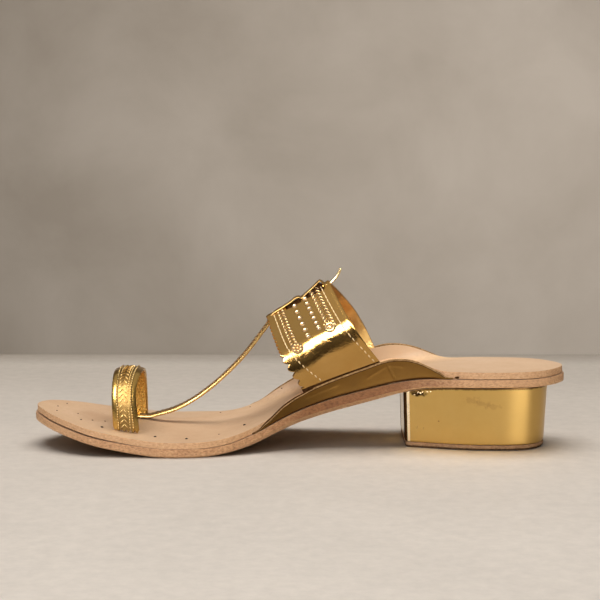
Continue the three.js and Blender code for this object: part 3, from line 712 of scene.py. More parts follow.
heelBody = copyOfNode("heel_block")
heelLow = min(vert.co.z for vert in heelBody.verts)
heelMiddle = sum((vert.co for vert in heelBody.verts), Vector()) / len(heelBody.verts)
for vert in heelBody.verts:
    if vert.co.z - heelLow < heel["hemRise"] * mm:
        outward = (vert.co - heelMiddle) * Vector((1, 1, 0))
        vert.co += outward.normalized() * heel["hemOut"] * mm - Vector((0, 0, heel["hemDrop"] * mm))
cutBy(heelBody, heel["cornerSplit"], heel["cornerLean"])
for face in heelBody.faces:
    if face.normal.x < heel["breastFacing"]:
        face.material_index = 3
    # painted reflection on the corner: a dark strip in front of the split, a bright line behind it
    elif face.normal.x < heel["cornerFacing"]:
        behind = (face.calc_center_median() - heel["cornerSplit"] * mm).dot(heel["cornerLean"]) > 0
        face.material_index = 1 if behind else 2
topEdges = [edge for edge in heelBody.edges if edge.calc_face_angle(0) > math.radians(heel["edgeAngle"])]
topEdges = [edge for edge in topEdges if max(face.normal.z for face in edge.link_faces) > heel["topFacing"]]
bevelEdges(heelBody, topEdges, heel["topRound"], 4)
roundEdges(heelBody, heel["edgeRound"], heel["edgeAngle"])
heelPiece = newPiece(heelBody, "heel_block_foil", "heel_block",
                     [finishes["heel_foil"], finishes["painted_glint_foil"], seamShade, finishes["heel_breast_foil"]])
smoothOut(heelPiece)
heelFoilOnly = bpy.data.collections.new("heel_foil_only")      # lit by the two side cards
heelFoilOnly.objects.link(heelPiece)

heelSurface = surfaceOf("heel_block")
heelFolds = bmesh.new()
for x, z, length, turn in heel["folds"]:
    spot, normal = heelSurface.ray_cast(Vector((x * mm, -1, z * mm)), Vector((0, 1, 0)))[:2]
    along = turned(Vector((1, 0, 0)), normal, turn)
    bumpInto(heelFolds, spot / mm, along, normal, length, *heel["foldSize"])
# the folds take the paler foil: painted glints
newPiece(heelFolds, "heel_foil_folds", "heel_block", [finishes["painted_glint_foil"]])


# ear facings: gold sheets with a raw tan lip

ear = {
    "wall": 1.2, "edgeRound": 0.3,
    "lip": 0.9,           # raw edge showing over the gold
    "seam": 0.3,          # painted shade of a groove under it; the sheet stays flat there
    "lipShare": 0.82,     # share of the sheet's rows under the lip
    "seamShare": 0.74,    # share of the rows under the groove
    "lipMost": 0.45, "seamMost": 0.15,     # and never more of its height than this
    "lipLean": 0.2,       # slope of the pared raw edge
    "leanTop": 0.02,      # the sheet leans in towards the top, more at its foot
    "leanFoot": 0.16,
    "leanIn": 0.25,       # its upper edge stands in this far
    "shadeUnder": 0.065,  # dark line along its foot, as a share of the rows
    "gapLine": 0.4, "gapShare": 0.93, "gapTo": (0, 6),     # painted shade of a gap: dark line over the lip in front of the band
    "footTuck": 0.5, "tuckRise": 0.8,      # lower edge turns in at the outsole
    "flatBelow": 0.8, "fullFrom": 5,       # its low ends stay flat: no swell under the first height
    "gapBehind": 2.5, "gapRise": 0.7, "gapSize": (3.4, 1.0, 0.25),     # painted shade: dark oval for the gap behind its rear end
    "columns": 300,
    "rows": 36,
    "creases": {          # start and end as x and depth under the top edge, height, width
        "medial": (
            ((2.5, 2.9), (17, 3.2), -0.1, 0.9), ((40.7, 2.3), (43.8, 8.6), 0.15, 0.45),
            ((40.2, 2.7), (32.2, 4.9), -0.07, 0.8), ((41.2, 2.6), (47.5, 3.6), -0.06, 0.7),
        ),
        "lateral": (((6, 2.9), (21, 3.2), -0.07, 0.9), ((37, 2.4), (40.5, 7.5), -0.05, 0.7)),
    },
}


def earProfile(node, outward):
    # lower edge, upper edge and outer face of a facing along x, read from its solid
    close = 0.01
    stations = {}
    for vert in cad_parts[node].data.vertices:
        point = vert.co / mm
        stations.setdefault(round(point.x, 2), []).append(point)
    rows = []
    for x in sorted(stations):
        points = stations[x]
        high = max(point.z for point in points)
        low = min(point.z for point in points)
        crest = [point.y * outward for point in points if high - point.z < close]
        base = [point.y * outward for point in points if point.z - low < close]
        rows.append((x, low, high, max(crest) * outward, max(base) * outward))
    curves = [columnCurve(rows, column) for column in (1, 2, 3, 4)]
    return rows[0][0], rows[-1][0], curves


earShapes = {side: earProfile("ear_" + side, outward) for side, outward in sides.items()}


def earSheet(side):
    outward = sides[side]
    first, last, (low, high, crestY, baseY) = earShapes[side]

    def place(u, v):
        x = mix(first, last, u)
        height = high(x) - low(x)
        lip = min(ear["lip"] + ear["gapLine"] * (1 - smoothStep(x, *ear["gapTo"])), height * ear["lipMost"])
        groove = min(ear["seam"], height * ear["seamMost"])
        if v > ear["lipShare"]:
            under = lip * (1 - v) / (1 - ear["lipShare"])
        elif v > ear["seamShare"]:
            under = lip + groove * (ear["lipShare"] - v) / (ear["lipShare"] - ear["seamShare"])
        else:
            under = mix(height, lip + groove, v / ear["seamShare"])
        full = smoothStep(height, ear["flatBelow"], ear["fullFrom"])
        share = under / height
        lean = ear["leanTop"] * share + (ear["leanFoot"] - ear["leanTop"]) * share ** 2 / 2
        swell = lean * height - ear["leanIn"] * full - ear["lipLean"] * max(lip - under, 0)
        swell -= ear["footTuck"] * smoothStep(under, height - ear["tuckRise"], height) * full
        swell += creaseAt((x, under), ear["creases"][side]) * full
        return Vector((x, mix(crestY(x), baseY(x), share) + outward * swell, high(x) - under))

    bm = bmesh.new()
    gridInto(bm, ear["columns"], ear["rows"], place)
    uvLayer = bm.loops.layers.uv.verify()
    for face in bm.faces:
        middle = rowOf(face, uvLayer)
        x = mix(first, last, face.loops[0][uvLayer].uv.x)
        # painted shade: the groove rows, the foot rows and, on the medial side, the gap line in front of the
        # band
        seam = middle > ear["seamShare"] or middle < ear["shadeUnder"]
        face.material_index = 2 if middle > ear["lipShare"] else 1 if seam else 0
        if side == "medial" and middle > ear["gapShare"] and x < ear["gapTo"][1]:
            face.material_index = 4
    if outward > 0:
        bmesh.ops.reverse_faces(bm, faces=bm.faces)
    piece = newPiece(bm, "ear_facing_" + side, "ear_" + side,
                     [finishes["ear_foil"], seamShade, earLip, earLip, seamShade])
    thicken(piece, ear["wall"], ear["edgeRound"], 1.0, material_offset_rim=1)


for earSide in sides:
    earSheet(earSide)


# band over the instep

band = {
    "frontFoot": Vector((0.5, 0, 28.06)),    # edges in side view, where they enter the ears
    "frontCrown": Vector((-16.1, 0, 58.4)),
    "rearFoot": Vector((36.7, 0, 40.9)),
    "rearCrown": Vector((13.8, 0, 75.6)),
    "frontBow": 1.3,                         # edges bow out this far between ear and crown
    "rearBow": {"medial": -1.1, "lateral": 2},
    "crownY": 7.0,
    "wall": 1.5, "edgeRound": 0.2,
    "archLength": 55.3,                      # from the buried end to the crown
    "buried": 7.65,
    "shadeUnder": -0.017,                    # dark line where it enters the ear
    "facing": 2.25,                          # facing's outer side to the middle of the band's wall
    "wrinkle": 0.05, "wrinkleSize": (1.1, 2.2), "wrinkleRise": 0.41, "wrinkleSpread": 0.07,
    "scallops": 4, "scallopPitch": 4.7, "scallopDepth": 1.8,
    "toothPitch": 2.4, "toothDepth": 1.2,
    "pinkReach": 5,                          # power that keeps the cuts to the front edge
    "braidLift": 0.06, "braidFlat": 0.75,    # raised base of the braids
    "rimLift": 0.12, "rimAt": 0.985, "rimWide": 0.012,
    "slotFade": (2.9, 3.9), "slotEase": 0.04, "slotSink": 1.0,     # beside the thong on the crown: sunk, with painted shade
    "slotClose": (1.5, 2.2), "slotRoof": 1.35,                     # and under it
    "columns": 480, "rows": 56,
}
# half of the arch: share of its length, spread from the crown line, rise from the ear line
archRows = [
    (0, 1, -0.2), (0.138, 1, 0), (0.181, 1.023, 0.06), (0.237, 1.049, 0.14), (0.293, 1.069, 0.22),
    (0.335, 1.075, 0.28), (0.355, 1.0735, 0.31), (0.397, 1.063, 0.37), (0.432, 1.048, 0.42),
    (0.446, 1.0395, 0.44), (0.468, 1.0215, 0.47), (0.491, 0.996, 0.5), (0.516, 0.961, 0.53),
    (0.538, 0.9225, 0.555), (0.558, 0.885, 0.575), (0.659, 0.688, 0.6765), (0.76, 0.491, 0.7775),
    (0.851, 0.315, 0.868), (0.91, 0.198, 0.927), (0.953, 0.11, 0.967), (0.982, 0.045, 0.991), (1, 0, 1),
]
medialRows = [(share - 1, -spread, rise) for share, spread, rise in archRows]
lateralRows = [(1 - share, spread, rise) for share, spread, rise in reversed(archRows[:-1])]
wholeArch = medialRows + lateralRows
archSpread = columnCurve(wholeArch, 1, splineThrough)
archRise = columnCurve(wholeArch, 2, splineThrough)
archAtRise = curveThrough([(row[2], 1 - row[0]) for row in archRows])


def bandMiddle(arch, across):
    # arch runs from the medial end (-1) over the crown (0) to the lateral end (1)
    arch = clamp(arch, -1, 1)
    rise = archRise(arch)
    side = "medial" if arch < 0 else "lateral"
    front = band["frontFoot"].lerp(band["frontCrown"], rise)
    rear = band["rearFoot"].lerp(band["rearCrown"], rise)
    run = rear - front
    swell = math.sin(math.pi * clamp(rise)) / run.length
    point = front + run * (across + mix(-band["frontBow"], band["rearBow"][side], across) * swell)
    footX = mix(band["frontFoot"].x, band["rearFoot"].x, across)
    endY = earShapes[side][2][2](max(point.x, footX)) - sides[side] * band["facing"]
    point.y = band["crownY"] + archSpread(arch) * abs(endY - band["crownY"])
    return point


def bandFrame(arch, across, lift=0.0):
    # point on the outer face, direction over the crown, direction to the rear, normal
    step = 0.004
    over = bandMiddle(arch + step, across) - bandMiddle(arch - step, across)
    rearward = bandMiddle(arch, across + step) - bandMiddle(arch, across - step)
    normal = rearward.cross(over).normalized()
    point = bandMiddle(arch, across) + normal * (band["wall"] / 2 + lift)
    return point, over.normalized(), rearward.normalized(), normal


bandWidth = (bandMiddle(0, 1) - bandMiddle(0, 0)).length


def pinkDepth(length):
    # depth cut from the front edge, by the length from the buried end
    past = length - band["buried"]
    scalloped = band["scallops"] * band["scallopPitch"]
    if past < 0:
        return 0.0
    if past < scalloped:
        lobe = past / band["scallopPitch"] % 1
        return band["scallopDepth"] * (1 - math.sin(math.pi * lobe))
    return band["toothDepth"] * (1 - wave((past - scalloped) / band["toothPitch"]))


braidRows = {
    "front": {"across": 0.22, "halfWidth": 0.05, "fadeFrom": 0.5, "fadeTo": 0.56},
    "rear": {"across": 0.76, "halfWidth": 0.065, "fadeFrom": 0.58, "fadeTo": 0.66},
}


# the thong over the crown: across the band, height over the middle of its wall, width and thickness
weaveRows = [
    (0.03, -1.9, 1, 1), (0.08, -0.3, 1, 0.8), (0.13, 0.25, 1, 0.6), (0.25, 0.4, 1, 0.6), (0.4, 0.7, 1, 0.6),
    (0.515, 1.05, 1, 0.6), (0.535, 0.7, 1, 0.6), (0.555, -0.2, 1, 0.6), (0.575, -0.3, 1, 0.6),
    (0.6, 0.1, 1, 0.6), (0.65, 0.6, 1, 0.6), (0.72, 1.1, 1, 0.6), (0.8, 1.8, 1, 0.6), (0.86, 2.35, 1, 0.6),
    (0.892, 2.6, 1, 0.6), (0.91, 1.9, 1, 0.6), (0.928, 0.2, 0.95, 0.6), (0.945, -0.5, 0.92, 0.6),
    (0.97, -0.75, 0.9, 0.65), (1, -0.8, 0.8, 0.7), (1.05, -0.5, 0.6, 0.75), (1.107, 0, 0.5, 0.75),
    (1.17, 1.1, 0.45, 0.75), (1.232, 2.8, 0.4, 0.6),
]
weaveOver = columnCurve(weaveRows, 1)
bridges = ((0.3, 0.545), (0.61, 0.905))      # it lies over the band here


def slotShare(arch, across):
    # 1 in the slots under the thong's bridges
    ease = band["slotEase"]
    over = sum(smoothStep(across, a, a + ease) * (1 - smoothStep(across, b - ease, b)) for a, b in bridges)
    return over * (1 - smoothStep(abs(arch) * band["archLength"], *band["slotFade"]))


def slotDepth(arch, across):
    # sunk on both sides of the thong, close up under it
    under = 1 - smoothStep(abs(arch) * band["archLength"], *band["slotClose"])
    return mix(band["slotSink"], band["slotRoof"] - weaveOver(across), under)


def bandRelief(arch, across):
    # base of the braids, thin rim at the rear, fine wrinkles under the bend, slots at the crown
    rise = archRise(arch)
    relief = 0.0
    for row in braidRows.values():
        half = row["halfWidth"]
        flat = 1 - smoothStep(abs(across - row["across"]), half * band["braidFlat"], half)
        relief += band["braidLift"] * flat * smoothStep(rise, row["fadeFrom"], row["fadeTo"])
    relief += band["rimLift"] * hump(across, band["rimAt"], band["rimWide"])
    wide, tall = band["wrinkleSize"]
    wrinkle = noise.noise(Vector((across * bandWidth / wide, arch * band["archLength"] / tall, 0)))
    relief += band["wrinkle"] * wrinkle * hump(rise, band["wrinkleRise"], band["wrinkleSpread"])
    return relief - slotDepth(arch, across) * slotShare(arch, across)


def bandPlace(u, v):
    arch = 2 * u - 1
    cut = pinkDepth((1 - abs(arch)) * band["archLength"]) / bandWidth
    across = v + cut * (1 - v) ** band["pinkReach"]
    return bandFrame(arch, across, bandRelief(arch, across))[0]


bandBody = bmesh.new()
gridInto(bandBody, band["columns"], band["rows"], bandPlace)
bmesh.ops.reverse_faces(bandBody, faces=bandBody.faces)
bandUv = bandBody.loops.layers.uv.verify()
for face in bandBody.faces:
    u, v = face.loops[0][bandUv].uv
    # painted shade: dark where the band runs into the ear, and in the slots under the thong's bridges
    buried = archRise(2 * u - 1) < band["shadeUnder"]
    face.material_index = 2 if buried or slotShare(2 * u - 1, v) > 0.5 else 0
bandPiece = strapPiece(
    bandBody, "instep_band", "strap_foil", "strap_lining_foil", "seam_shade", "strap_lining_foil")
thicken(bandPiece, band["wall"], band["edgeRound"], 1.2, material_offset=1)


# ornament on the band: braids, rosettes and domes, the same on both halves, and stitch lines

ornament = {
    "frontBraid": {"pitch": 2.0, "count": 13, "offset": 0.95, "size": (2.0, 0.75, 0.7), "turn": 35},
    "rearBraid": {"pitch": 2.0, "count": 13, "offset": 1.35, "size": (3.0, 0.65, 0.75), "turn": 40},
    "domes": ({"across": 0.43, "count": 6, "last": 0.575}, {"across": 0.6, "count": 7, "last": 0.605}),
    "domeSize": (2.5, 1.6, 1.0),
    "dash": {"size": (2.4, 0.8, 0.8), "gap": 0.6},
    "flower": {                       # sizes as shares of the radius, heights in millimetres
        "across": 0.235, "rise": 0.50, "radius": 2.6, "petals": 7,
        "petalOut": 0.66, "petalSize": (0.72, 0.52), "petalHeight": 1.1, "eye": 0.55, "eyeHeight": 1.2,
        "shadeDisc": 2.25,
    },
    "roundel": {
        "across": 0.735, "rise": 0.56, "radius": 2.0, "tube": 0.5,
        "dome": 1.1, "domeHeight": 0.8, "shadeDisc": 2.9,
        "rays": (-36, -12, 12, 36), "rayOut": 1.1, "raySize": (1.3, 0.8, 0.5),
    },
    "shadeDiscHeight": 0.3,
    "shadowSpot": {"drop": 0.45, "spread": 0.28, "height": 0.22},   # painted shadow, a dark low bump, below each raised form
    "stitchPitch": 2.4,
    "stitchWide": (0.55, 0.4),
    "stitchLong": (1.7, 2.6), "stitchBend": (0.3, 0.42),     # below the bend, above it
}
# stitch lines: across the band by rise
frontStitchAt = curveThrough([(0, 0.26), (0.2, 0.2), (0.45, 0.14), (0.6, 0.12), (1, 0.12)])
rearStitchAt = curveThrough([(0, 0.945), (0.25, 0.915), (0.5, 0.88), (1, 0.865)])


def reliefInto(bm, shade, outward, place, along, length, width, height):
    # raised form on the band with a painted shadow, a dark low bump, on its lower side; place is what
    # bandFrame gives
    point, over, rearward, normal = place
    shadowSpot = ornament["shadowSpot"]
    bumpInto(bm, point, along, normal, length, width, height)
    lower = point + over * outward * shadowSpot["drop"]
    spread = shadowSpot["spread"]
    bumpInto(shade, lower, along, normal, length + spread, width + spread, shadowSpot["height"])


def braidInto(bm, shade, outward, style, across):
    for k in range(style["count"]):
        arch = outward * (k + 0.5) * style["pitch"] / band["archLength"]
        for hand in (-1, 1):
            place = across + hand * style["offset"] / bandWidth
            spot = bandFrame(arch, place)
            slant = turned(spot[2], spot[3], hand * outward * style["turn"])
            reliefInto(bm, shade, outward, spot, slant, *style["size"])


def flowerInto(bm, shade, outward, style):
    centre, over, rearward, normal = bandFrame(outward * archAtRise(style["rise"]), style["across"])
    radius = style["radius"]
    shadeDisc, eye = style["shadeDisc"] * radius, radius * style["eye"]
    long, wide = (radius * share for share in style["petalSize"])
    # painted shade in the gaps between the petals
    bumpInto(shade, centre, rearward, normal, shadeDisc, shadeDisc, ornament["shadeDiscHeight"], detail=3)
    for k in range(style["petals"]):
        spoke = turned(rearward, normal, 360 * k / style["petals"])
        petal = centre + spoke * radius * style["petalOut"]
        bumpInto(bm, petal, spoke, normal, long, wide, style["petalHeight"])
    bumpInto(bm, centre, rearward, normal, eye, eye, style["eyeHeight"])


def bossInto(bm, shade, outward, style):
    centre, over, rearward, normal = bandFrame(outward * archAtRise(style["rise"]), style["across"])
    radius = style["radius"]
    shadeDisc, dome = style["shadeDisc"] * radius, radius * style["dome"]
    roundelInto(bm, centre, rearward, normal, radius, style["tube"])
    # painted shade round the boss
    bumpInto(shade, centre, rearward, normal, shadeDisc, shadeDisc, ornament["shadeDiscHeight"], detail=3)
    bumpInto(bm, centre, rearward, normal, dome, dome, style["domeHeight"], detail=3)
    for turn in style["rays"]:
        spoke = turned(over, normal, outward * turn) * outward
        bumpInto(bm, centre - spoke * (radius + style["rayOut"]), spoke, normal, *style["raySize"])


def domesInto(bm, shade, outward, row):
    last = archAtRise(row["last"])
    for k in range(row["count"]):
        arch = outward * last * (k + 1) / row["count"]
        point, over, rearward, normal = bandFrame(arch, row["across"])
        if k < row["count"] - 1:
            reliefInto(bm, shade, outward, (point, over, rearward, normal), rearward, *ornament["domeSize"])
            continue
        for hand in (-1, 1):
            dash = (point + over * hand * ornament["dash"]["gap"], over, rearward, normal)
            reliefInto(bm, shade, outward, dash, rearward, *ornament["dash"]["size"])


def stitchesInto(bm, outward, acrossAt):
    length = band["archLength"] - band["buried"] + ornament["stitchPitch"] / 2
    below, above = ornament["stitchLong"]
    for k in range(int(length / ornament["stitchPitch"])):
        arch = outward * (k + 0.5) * ornament["stitchPitch"] / band["archLength"]
        rise = archRise(arch)
        point, over, rearward, normal = bandFrame(arch, acrossAt(rise))
        long = mix(below, above, smoothStep(rise, *ornament["stitchBend"]))
        bumpInto(bm, point, over, normal, long, *ornament["stitchWide"])


bandTrim = bmesh.new()
bandDomes = bmesh.new()
bandShade = bmesh.new()
bandStitches = bmesh.new()
for outwardSign in sides.values():
    braidInto(bandTrim, bandShade, outwardSign, ornament["frontBraid"], braidRows["front"]["across"])
    braidInto(bandTrim, bandShade, outwardSign, ornament["rearBraid"], braidRows["rear"]["across"])
    flowerInto(bandTrim, bandShade, outwardSign, ornament["flower"])
    bossInto(bandTrim, bandShade, outwardSign, ornament["roundel"])
    for domeRow in ornament["domes"]:
        domesInto(bandDomes, bandShade, outwardSign, domeRow)
    stitchesInto(bandStitches, outwardSign, frontStitchAt)
    stitchesInto(bandStitches, outwardSign, rearStitchAt)
strapPiece(bandTrim, "instep_band_ornament", "trim_foil")
strapPiece(bandDomes, "instep_band_domes", "painted_glint_foil")
# painted shadows under the ornament
strapPiece(bandShade, "instep_band_painted_shadows", "dark_strip_and_painted_shadow_foil")
strapPiece(bandStitches, "instep_band_stitches", "waxed_thread")


# toe ring

ring = {
    "centre": (-80.6, -4.9),
    "wall": 1.6,
    "halfSpan": 19.3,
    "height": 26.1,
    "squareness": 2.5,
    "footGap": 0.3,
    "edgeRound": 1.0, "rimRound": 0.25,      # long edges curl in, then their rims are rounded
    "notch": 1.4, "notches": 6, "notchReach": 1.2,
    "footReach": 6,             # the feet follow the insole up to about here
    "lines": (0.22, 0.79),      # raised lines across the ring
    "panel": (0.25, 0.76),      # dulled panel between them
    "lineHeight": 0.35, "lineWide": 0.022,
    "beads": (0.22, 0.67, 0.79),
    "beadPitch": 1.2, "beadSize": (0.95, 0.6, 0.35),
    "barPitch": 2.3,
    "barSize": (3.0, 0.55, 0.6),
    "bars": ((0.37, 48), (0.54, -48)),
    "studPitch": 1.5, "studColumns": 7, "studSize": (0.85, 0.7, 0.28),  # hammered dots inside
    "studJitter": 0.5,
    "columns": 220, "rows": 72, "steps": 400,
}
# round the ring: share of its arch, shift of its middle along x, width
ringRows = [(0, 0.35, 12.1), (0.2, -0.9, 11.2), (0.5, 0.3, 13.2), (0.8, 1, 12), (1, 0.8, 12.4)]
ringShift, ringWide = columnCurve(ringRows, 1), columnCurve(ringRows, 2)
ringFootZ = insoleTop(*ring["centre"]) + ring["footGap"]


def ringMiddle(share):
    angle = math.pi * clamp(share)
    bend = 2 / ring["squareness"]
    c = math.copysign(abs(math.cos(angle)) ** bend, math.cos(angle))
    return Vector((ring["centre"][0], ring["centre"][1] - ring["halfSpan"] * c,
                   ringFootZ + ring["height"] * math.sin(angle) ** bend))


# equal steps round the ring
ringShares = [i / ring["steps"] for i in range(ring["steps"] + 1)]
ringReach = reachesAlong([ringMiddle(share) for share in ringShares])
ringLength = ringReach[-1]
ringShareAt = curveThrough(list(zip(ringReach, ringShares)))


def ringFrame(reach, across, lift=0.0):
    step = 0.3
    share = ringShareAt(reach)
    over = ringMiddle(ringShareAt(reach + step)) - ringMiddle(ringShareAt(reach - step))
    over.normalize()
    normal = Vector((0, -over.z, over.y))
    curl = ring["edgeRound"] * abs(2 * across - 1) ** 4
    point = ringMiddle(share) + normal * (ring["wall"] / 2 + lift - curl)
    point.x += ringShift(share) + (across - 0.5) * ringWide(share)
    return point, over, Vector((1, 0, 0)), normal


def ringPlace(u, v):
    reach = u * ringLength
    fromFoot = min(reach, ringLength - reach)
    relief = sum(ring["lineHeight"] * hump(v, line, ring["lineWide"]) for line in ring["lines"])
    point = ringFrame(reach, v, relief)[0]
    lobe = abs(math.sin(math.pi * v * ring["notches"]))
    cut = ring["notch"] * (1 - lobe) * math.exp(-fromFoot / ring["notchReach"])
    ground = insoleTop(point.x, point.y) + ring["footGap"] - ringFootZ
    point.z += cut + ground * math.exp(-fromFoot / ring["footReach"])
    return point


ringBody = bmesh.new()
gridInto(ringBody, ring["columns"], ring["rows"], ringPlace)
bmesh.ops.reverse_faces(ringBody, faces=ringBody.faces)
ringUv = ringBody.loops.layers.uv.verify()
for face in ringBody.faces:
    inPanel = ring["panel"][0] < rowOf(face, ringUv) < ring["panel"][1]
    face.material_index = 2 if inPanel else 0
ringPiece = strapPiece(ringBody, "toe_ring", "toe_ring_foil", "toe_ring_lining_foil",
                       "toe_ring_panel_foil", "toe_ring_lining_foil")
thicken(ringPiece, ring["wall"], ring["rimRound"], 1.0, material_offset=1)

ringTrim = bmesh.new()
for k in range(int(ringLength / ring["barPitch"]) - 1):
    for barAcross, barTurn in ring["bars"]:
        point, over, rearward, normal = ringFrame((k + 1) * ring["barPitch"], barAcross)
        bumpInto(ringTrim, point, turned(rearward, normal, barTurn), normal, *ring["barSize"])
for k in range(int(ringLength / ring["beadPitch"]) - 2):
    for beadAcross in ring["beads"]:
        lift = ring["lineHeight"] if beadAcross in ring["lines"] else 0
        point, over, rearward, normal = ringFrame((k + 1.5) * ring["beadPitch"], beadAcross, lift)
        bumpInto(ringTrim, point, over, normal, *ring["beadSize"])
strapPiece(ringTrim, "toe_ring_ornament", "toe_ring_trim_foil")

random.seed(7)
ringStuds = bmesh.new()
for k in range(int(ringLength / ring["studPitch"])):
    for column in range(ring["studColumns"]):
        studAcross = (column + 0.5 + 0.5 * (k % 2)) / (ring["studColumns"] + 0.5)
        reach = (k + 0.5 + random.uniform(-0.5, 0.5) * ring["studJitter"]) * ring["studPitch"]
        studAcross += random.uniform(-0.5, 0.5) * ring["studJitter"] / ring["studColumns"]
        point, over, rearward, normal = ringFrame(reach, clamp(studAcross, 0.05, 0.95), -ring["wall"])
        bumpInto(ringStuds, point, over, -normal, *ring["studSize"])
strapPiece(ringStuds, "toe_ring_lining_studs", "strap_foil")


# thong from the ring to the band's crown, woven through it: a rounded strip under a serrated one

thong = {
    "width": 5.4, "thick": 1.8, "lowered": 0.15, "lowerFade": 4,
    "section": [(0, 1), (0.5, 0.98), (0.76, 0.82), (0.9, 0.5), (1, -0.2), (0.97, -0.55),
                (0.8, -0.87), (0, -1)],
    "stripWidth": 4.3, "stripWall": 0.4, "stripOver": 0.9, "stripEnds": 1.5, "stripDroop": 0.25,
    "toothPitch": 2.3, "toothDepth": 0.6, "toothLift": 0.25,
    "steps": 260, "sides": 36, "stripSteps": 520, "stripRows": 10,
}
# free part: x, y, z, width and thickness
thongRows = [
    (-79, 12.4, 9.95, 0.9, 0.8), (-73, 13, 9.7, 1, 0.9), (-67.8, 13.2, 10.9, 1, 1), (-61.5, 13, 12.7, 1, 1),
    (-53.2, 12.4, 16.8, 1, 1), (-42.9, 11.4, 24.2, 1, 1), (-28.8, 9.6, 37.7, 1, 1), (-18.8, 8, 50.4, 1, 1),
]
thongPoints = [(Vector(row[:3]), row[3], row[4]) for row in thongRows]
for across, over, width, thick in weaveRows:
    crownNormal = bandFrame(0, clamp(across))[3]
    thongPoints.append((bandMiddle(0, across) + crownNormal * over, width, thick))
thongReach = reachesAlong([point for point, width, thick in thongPoints])
thongLength = thongReach[-1]
freeLength = thongReach[len(thongRows)]
thongTable = [(reach, *point, wide, thick) for reach, (point, wide, thick) in zip(thongReach, thongPoints)]
thongCurves = [columnCurve(thongTable, axis) for axis in (1, 2, 3)]
thongWide, thongThick = columnCurve(thongTable, 4), columnCurve(thongTable, 5)


def thongMiddle(reach):
    return Vector([curve(reach) for curve in thongCurves])


def thongFrame(reach):
    step = 0.4
    along = (thongMiddle(min(reach + step, thongLength)) - thongMiddle(max(reach - step, 0))).normalized()
    upward = Vector((0, 1, 0)).cross(along).normalized() * -1
    return thongMiddle(reach), along, upward.cross(along), upward


def thongSpine(share):
    reach = share * thongLength
    middle, along, sideways, upward = thongFrame(reach)
    thick = thong["thick"] * thongThick(reach) / 2
    free = 1 - smoothStep(reach, freeLength - thong["lowerFade"], freeLength)
    lowered = middle - upward * thong["lowered"] * free
    return lowered, sideways, upward, thong["width"] * thongWide(reach) / 2, thick


thongBody = bmesh.new()
tubeInto(thongBody, thong["steps"], thong["sides"], thongSpine, thong["section"])
outwards(thongBody)
thongUv = thongBody.loops.layers.uv.verify()
tailReach = thongReach[len(thongRows) + [row[0] for row in weaveRows].index(1)]
for face in thongBody.faces:
    reach = face.loops[0][thongUv].uv.x * thongLength
    face.material_index = 2 if reach > tailReach else 1 if reach > freeLength - 1 else 0
strapPiece(thongBody, "thong_strip", "thong_foil", "woven_thong_foil", "trim_foil")


def stripPlace(u, v):
    reach = mix(thong["stripEnds"], freeLength - thong["stripEnds"], u)
    middle, along, sideways, upward = thongFrame(reach)
    tooth = wave(reach / thong["toothPitch"])
    side = 2 * v - 1
    halfWidth = thong["stripWidth"] / 2 - thong["toothDepth"] * (1 - tooth)
    edgeLift = thong["toothLift"] * tooth - thong["stripDroop"]
    lift = thong["stripOver"] * thongThick(reach) + side ** 4 * edgeLift
    return middle + sideways * side * halfWidth * thongWide(reach) + upward * lift


thongTop = bmesh.new()
gridInto(thongTop, thong["stripSteps"], thong["stripRows"], stripPlace)
outwards(thongTop)
thongTopPiece = strapPiece(thongTop, "thong_serrated_strip", "dark_strip_and_painted_shadow_foil")
addModifier(thongTopPiece, "SOLIDIFY", thickness=thong["stripWall"] * mm, offset=0)


# small dark nails in the insole

nails = {"radius": 0.72, "height": 0.5}
nailPlaces = [         # x, y, size
    (-66.8, -26.7, 1), (-52.1, -30.0, 1), (-37.5, -22.3, 0.65), (-26.0, -12.2, 1), (-91.8, -8.8, 0.65),
    (-91.6, -23.2, 1), (-97.3, -12.2, 0.6), (-102.1, -16.7, 0.65), (-114.2, -10.0, 0.55),
    (-115.2, 0.3, 0.55), (-112.3, 10.9, 0.5), (-104.9, -5.4, 0.55),
    (-39.4, 33.4, 0.5), (-24.6, 31, 0.5), (-9, 28.2, 0.5),
]
nailHeads = bmesh.new()
for x, y, scale in nailPlaces:
    head = Vector((x, y, insoleTop(x, y)))
    wide = 2 * nails["radius"] * scale
    bumpInto(nailHeads, head, Vector((1, 0, 0)), Vector((0, 0, 1)), wide, wide, nails["height"] * scale)
newPiece(nailHeads, "insole_nails", "insole", [nailIron])

# painted shade: dark ovals for the gaps in the insole's edge behind the ears
earGapShades = bmesh.new()
for earSide, outwardSign in sides.items():
    gapX = earShapes[earSide][1] + ear["gapBehind"]
    height = earShapes[earSide][2][0](gapX) + ear["gapRise"]
    facing = Vector((0, outwardSign, 0))
    spot = insoleSurface.ray_cast(Vector((gapX * mm, outwardSign, height * mm)), -facing)[0]
    bumpInto(earGapShades, spot / mm, Vector((1, 0, 0)), facing, *ear["gapSize"])
newPiece(earGapShades, "ear_end_gap_shades", "insole", [seamShade])


# table top, wall behind it, light, camera

stage = {
    "tableHalfWidth": 1.6, "tableFront": -2.2, "tableBack": 0.279, "tableDrop": 0.5, "tableRound": 0.006,
    "wallY": 1.55, "wallHalfWidth": 2.5, "wallLow": -0.6, "wallHigh": 2.2,
    # painted shade: the table darkens towards its far edge
    "tableNear": (0.80, 0.735, 0.665), "tableFar": (0.44, 0.395, 0.345), "tableEdge": (0.26, 0.225, 0.185),
    "tableFade": (-0.35, 0.2), "edgeFade": 0.05,
    "wallDark": (0.40, 0.345, 0.285), "wallLight": (0.56, 0.495, 0.425),
}


def stagePiece(bm, name, material):
    outwards(bm)
    objectFrom(bm, name, [material])


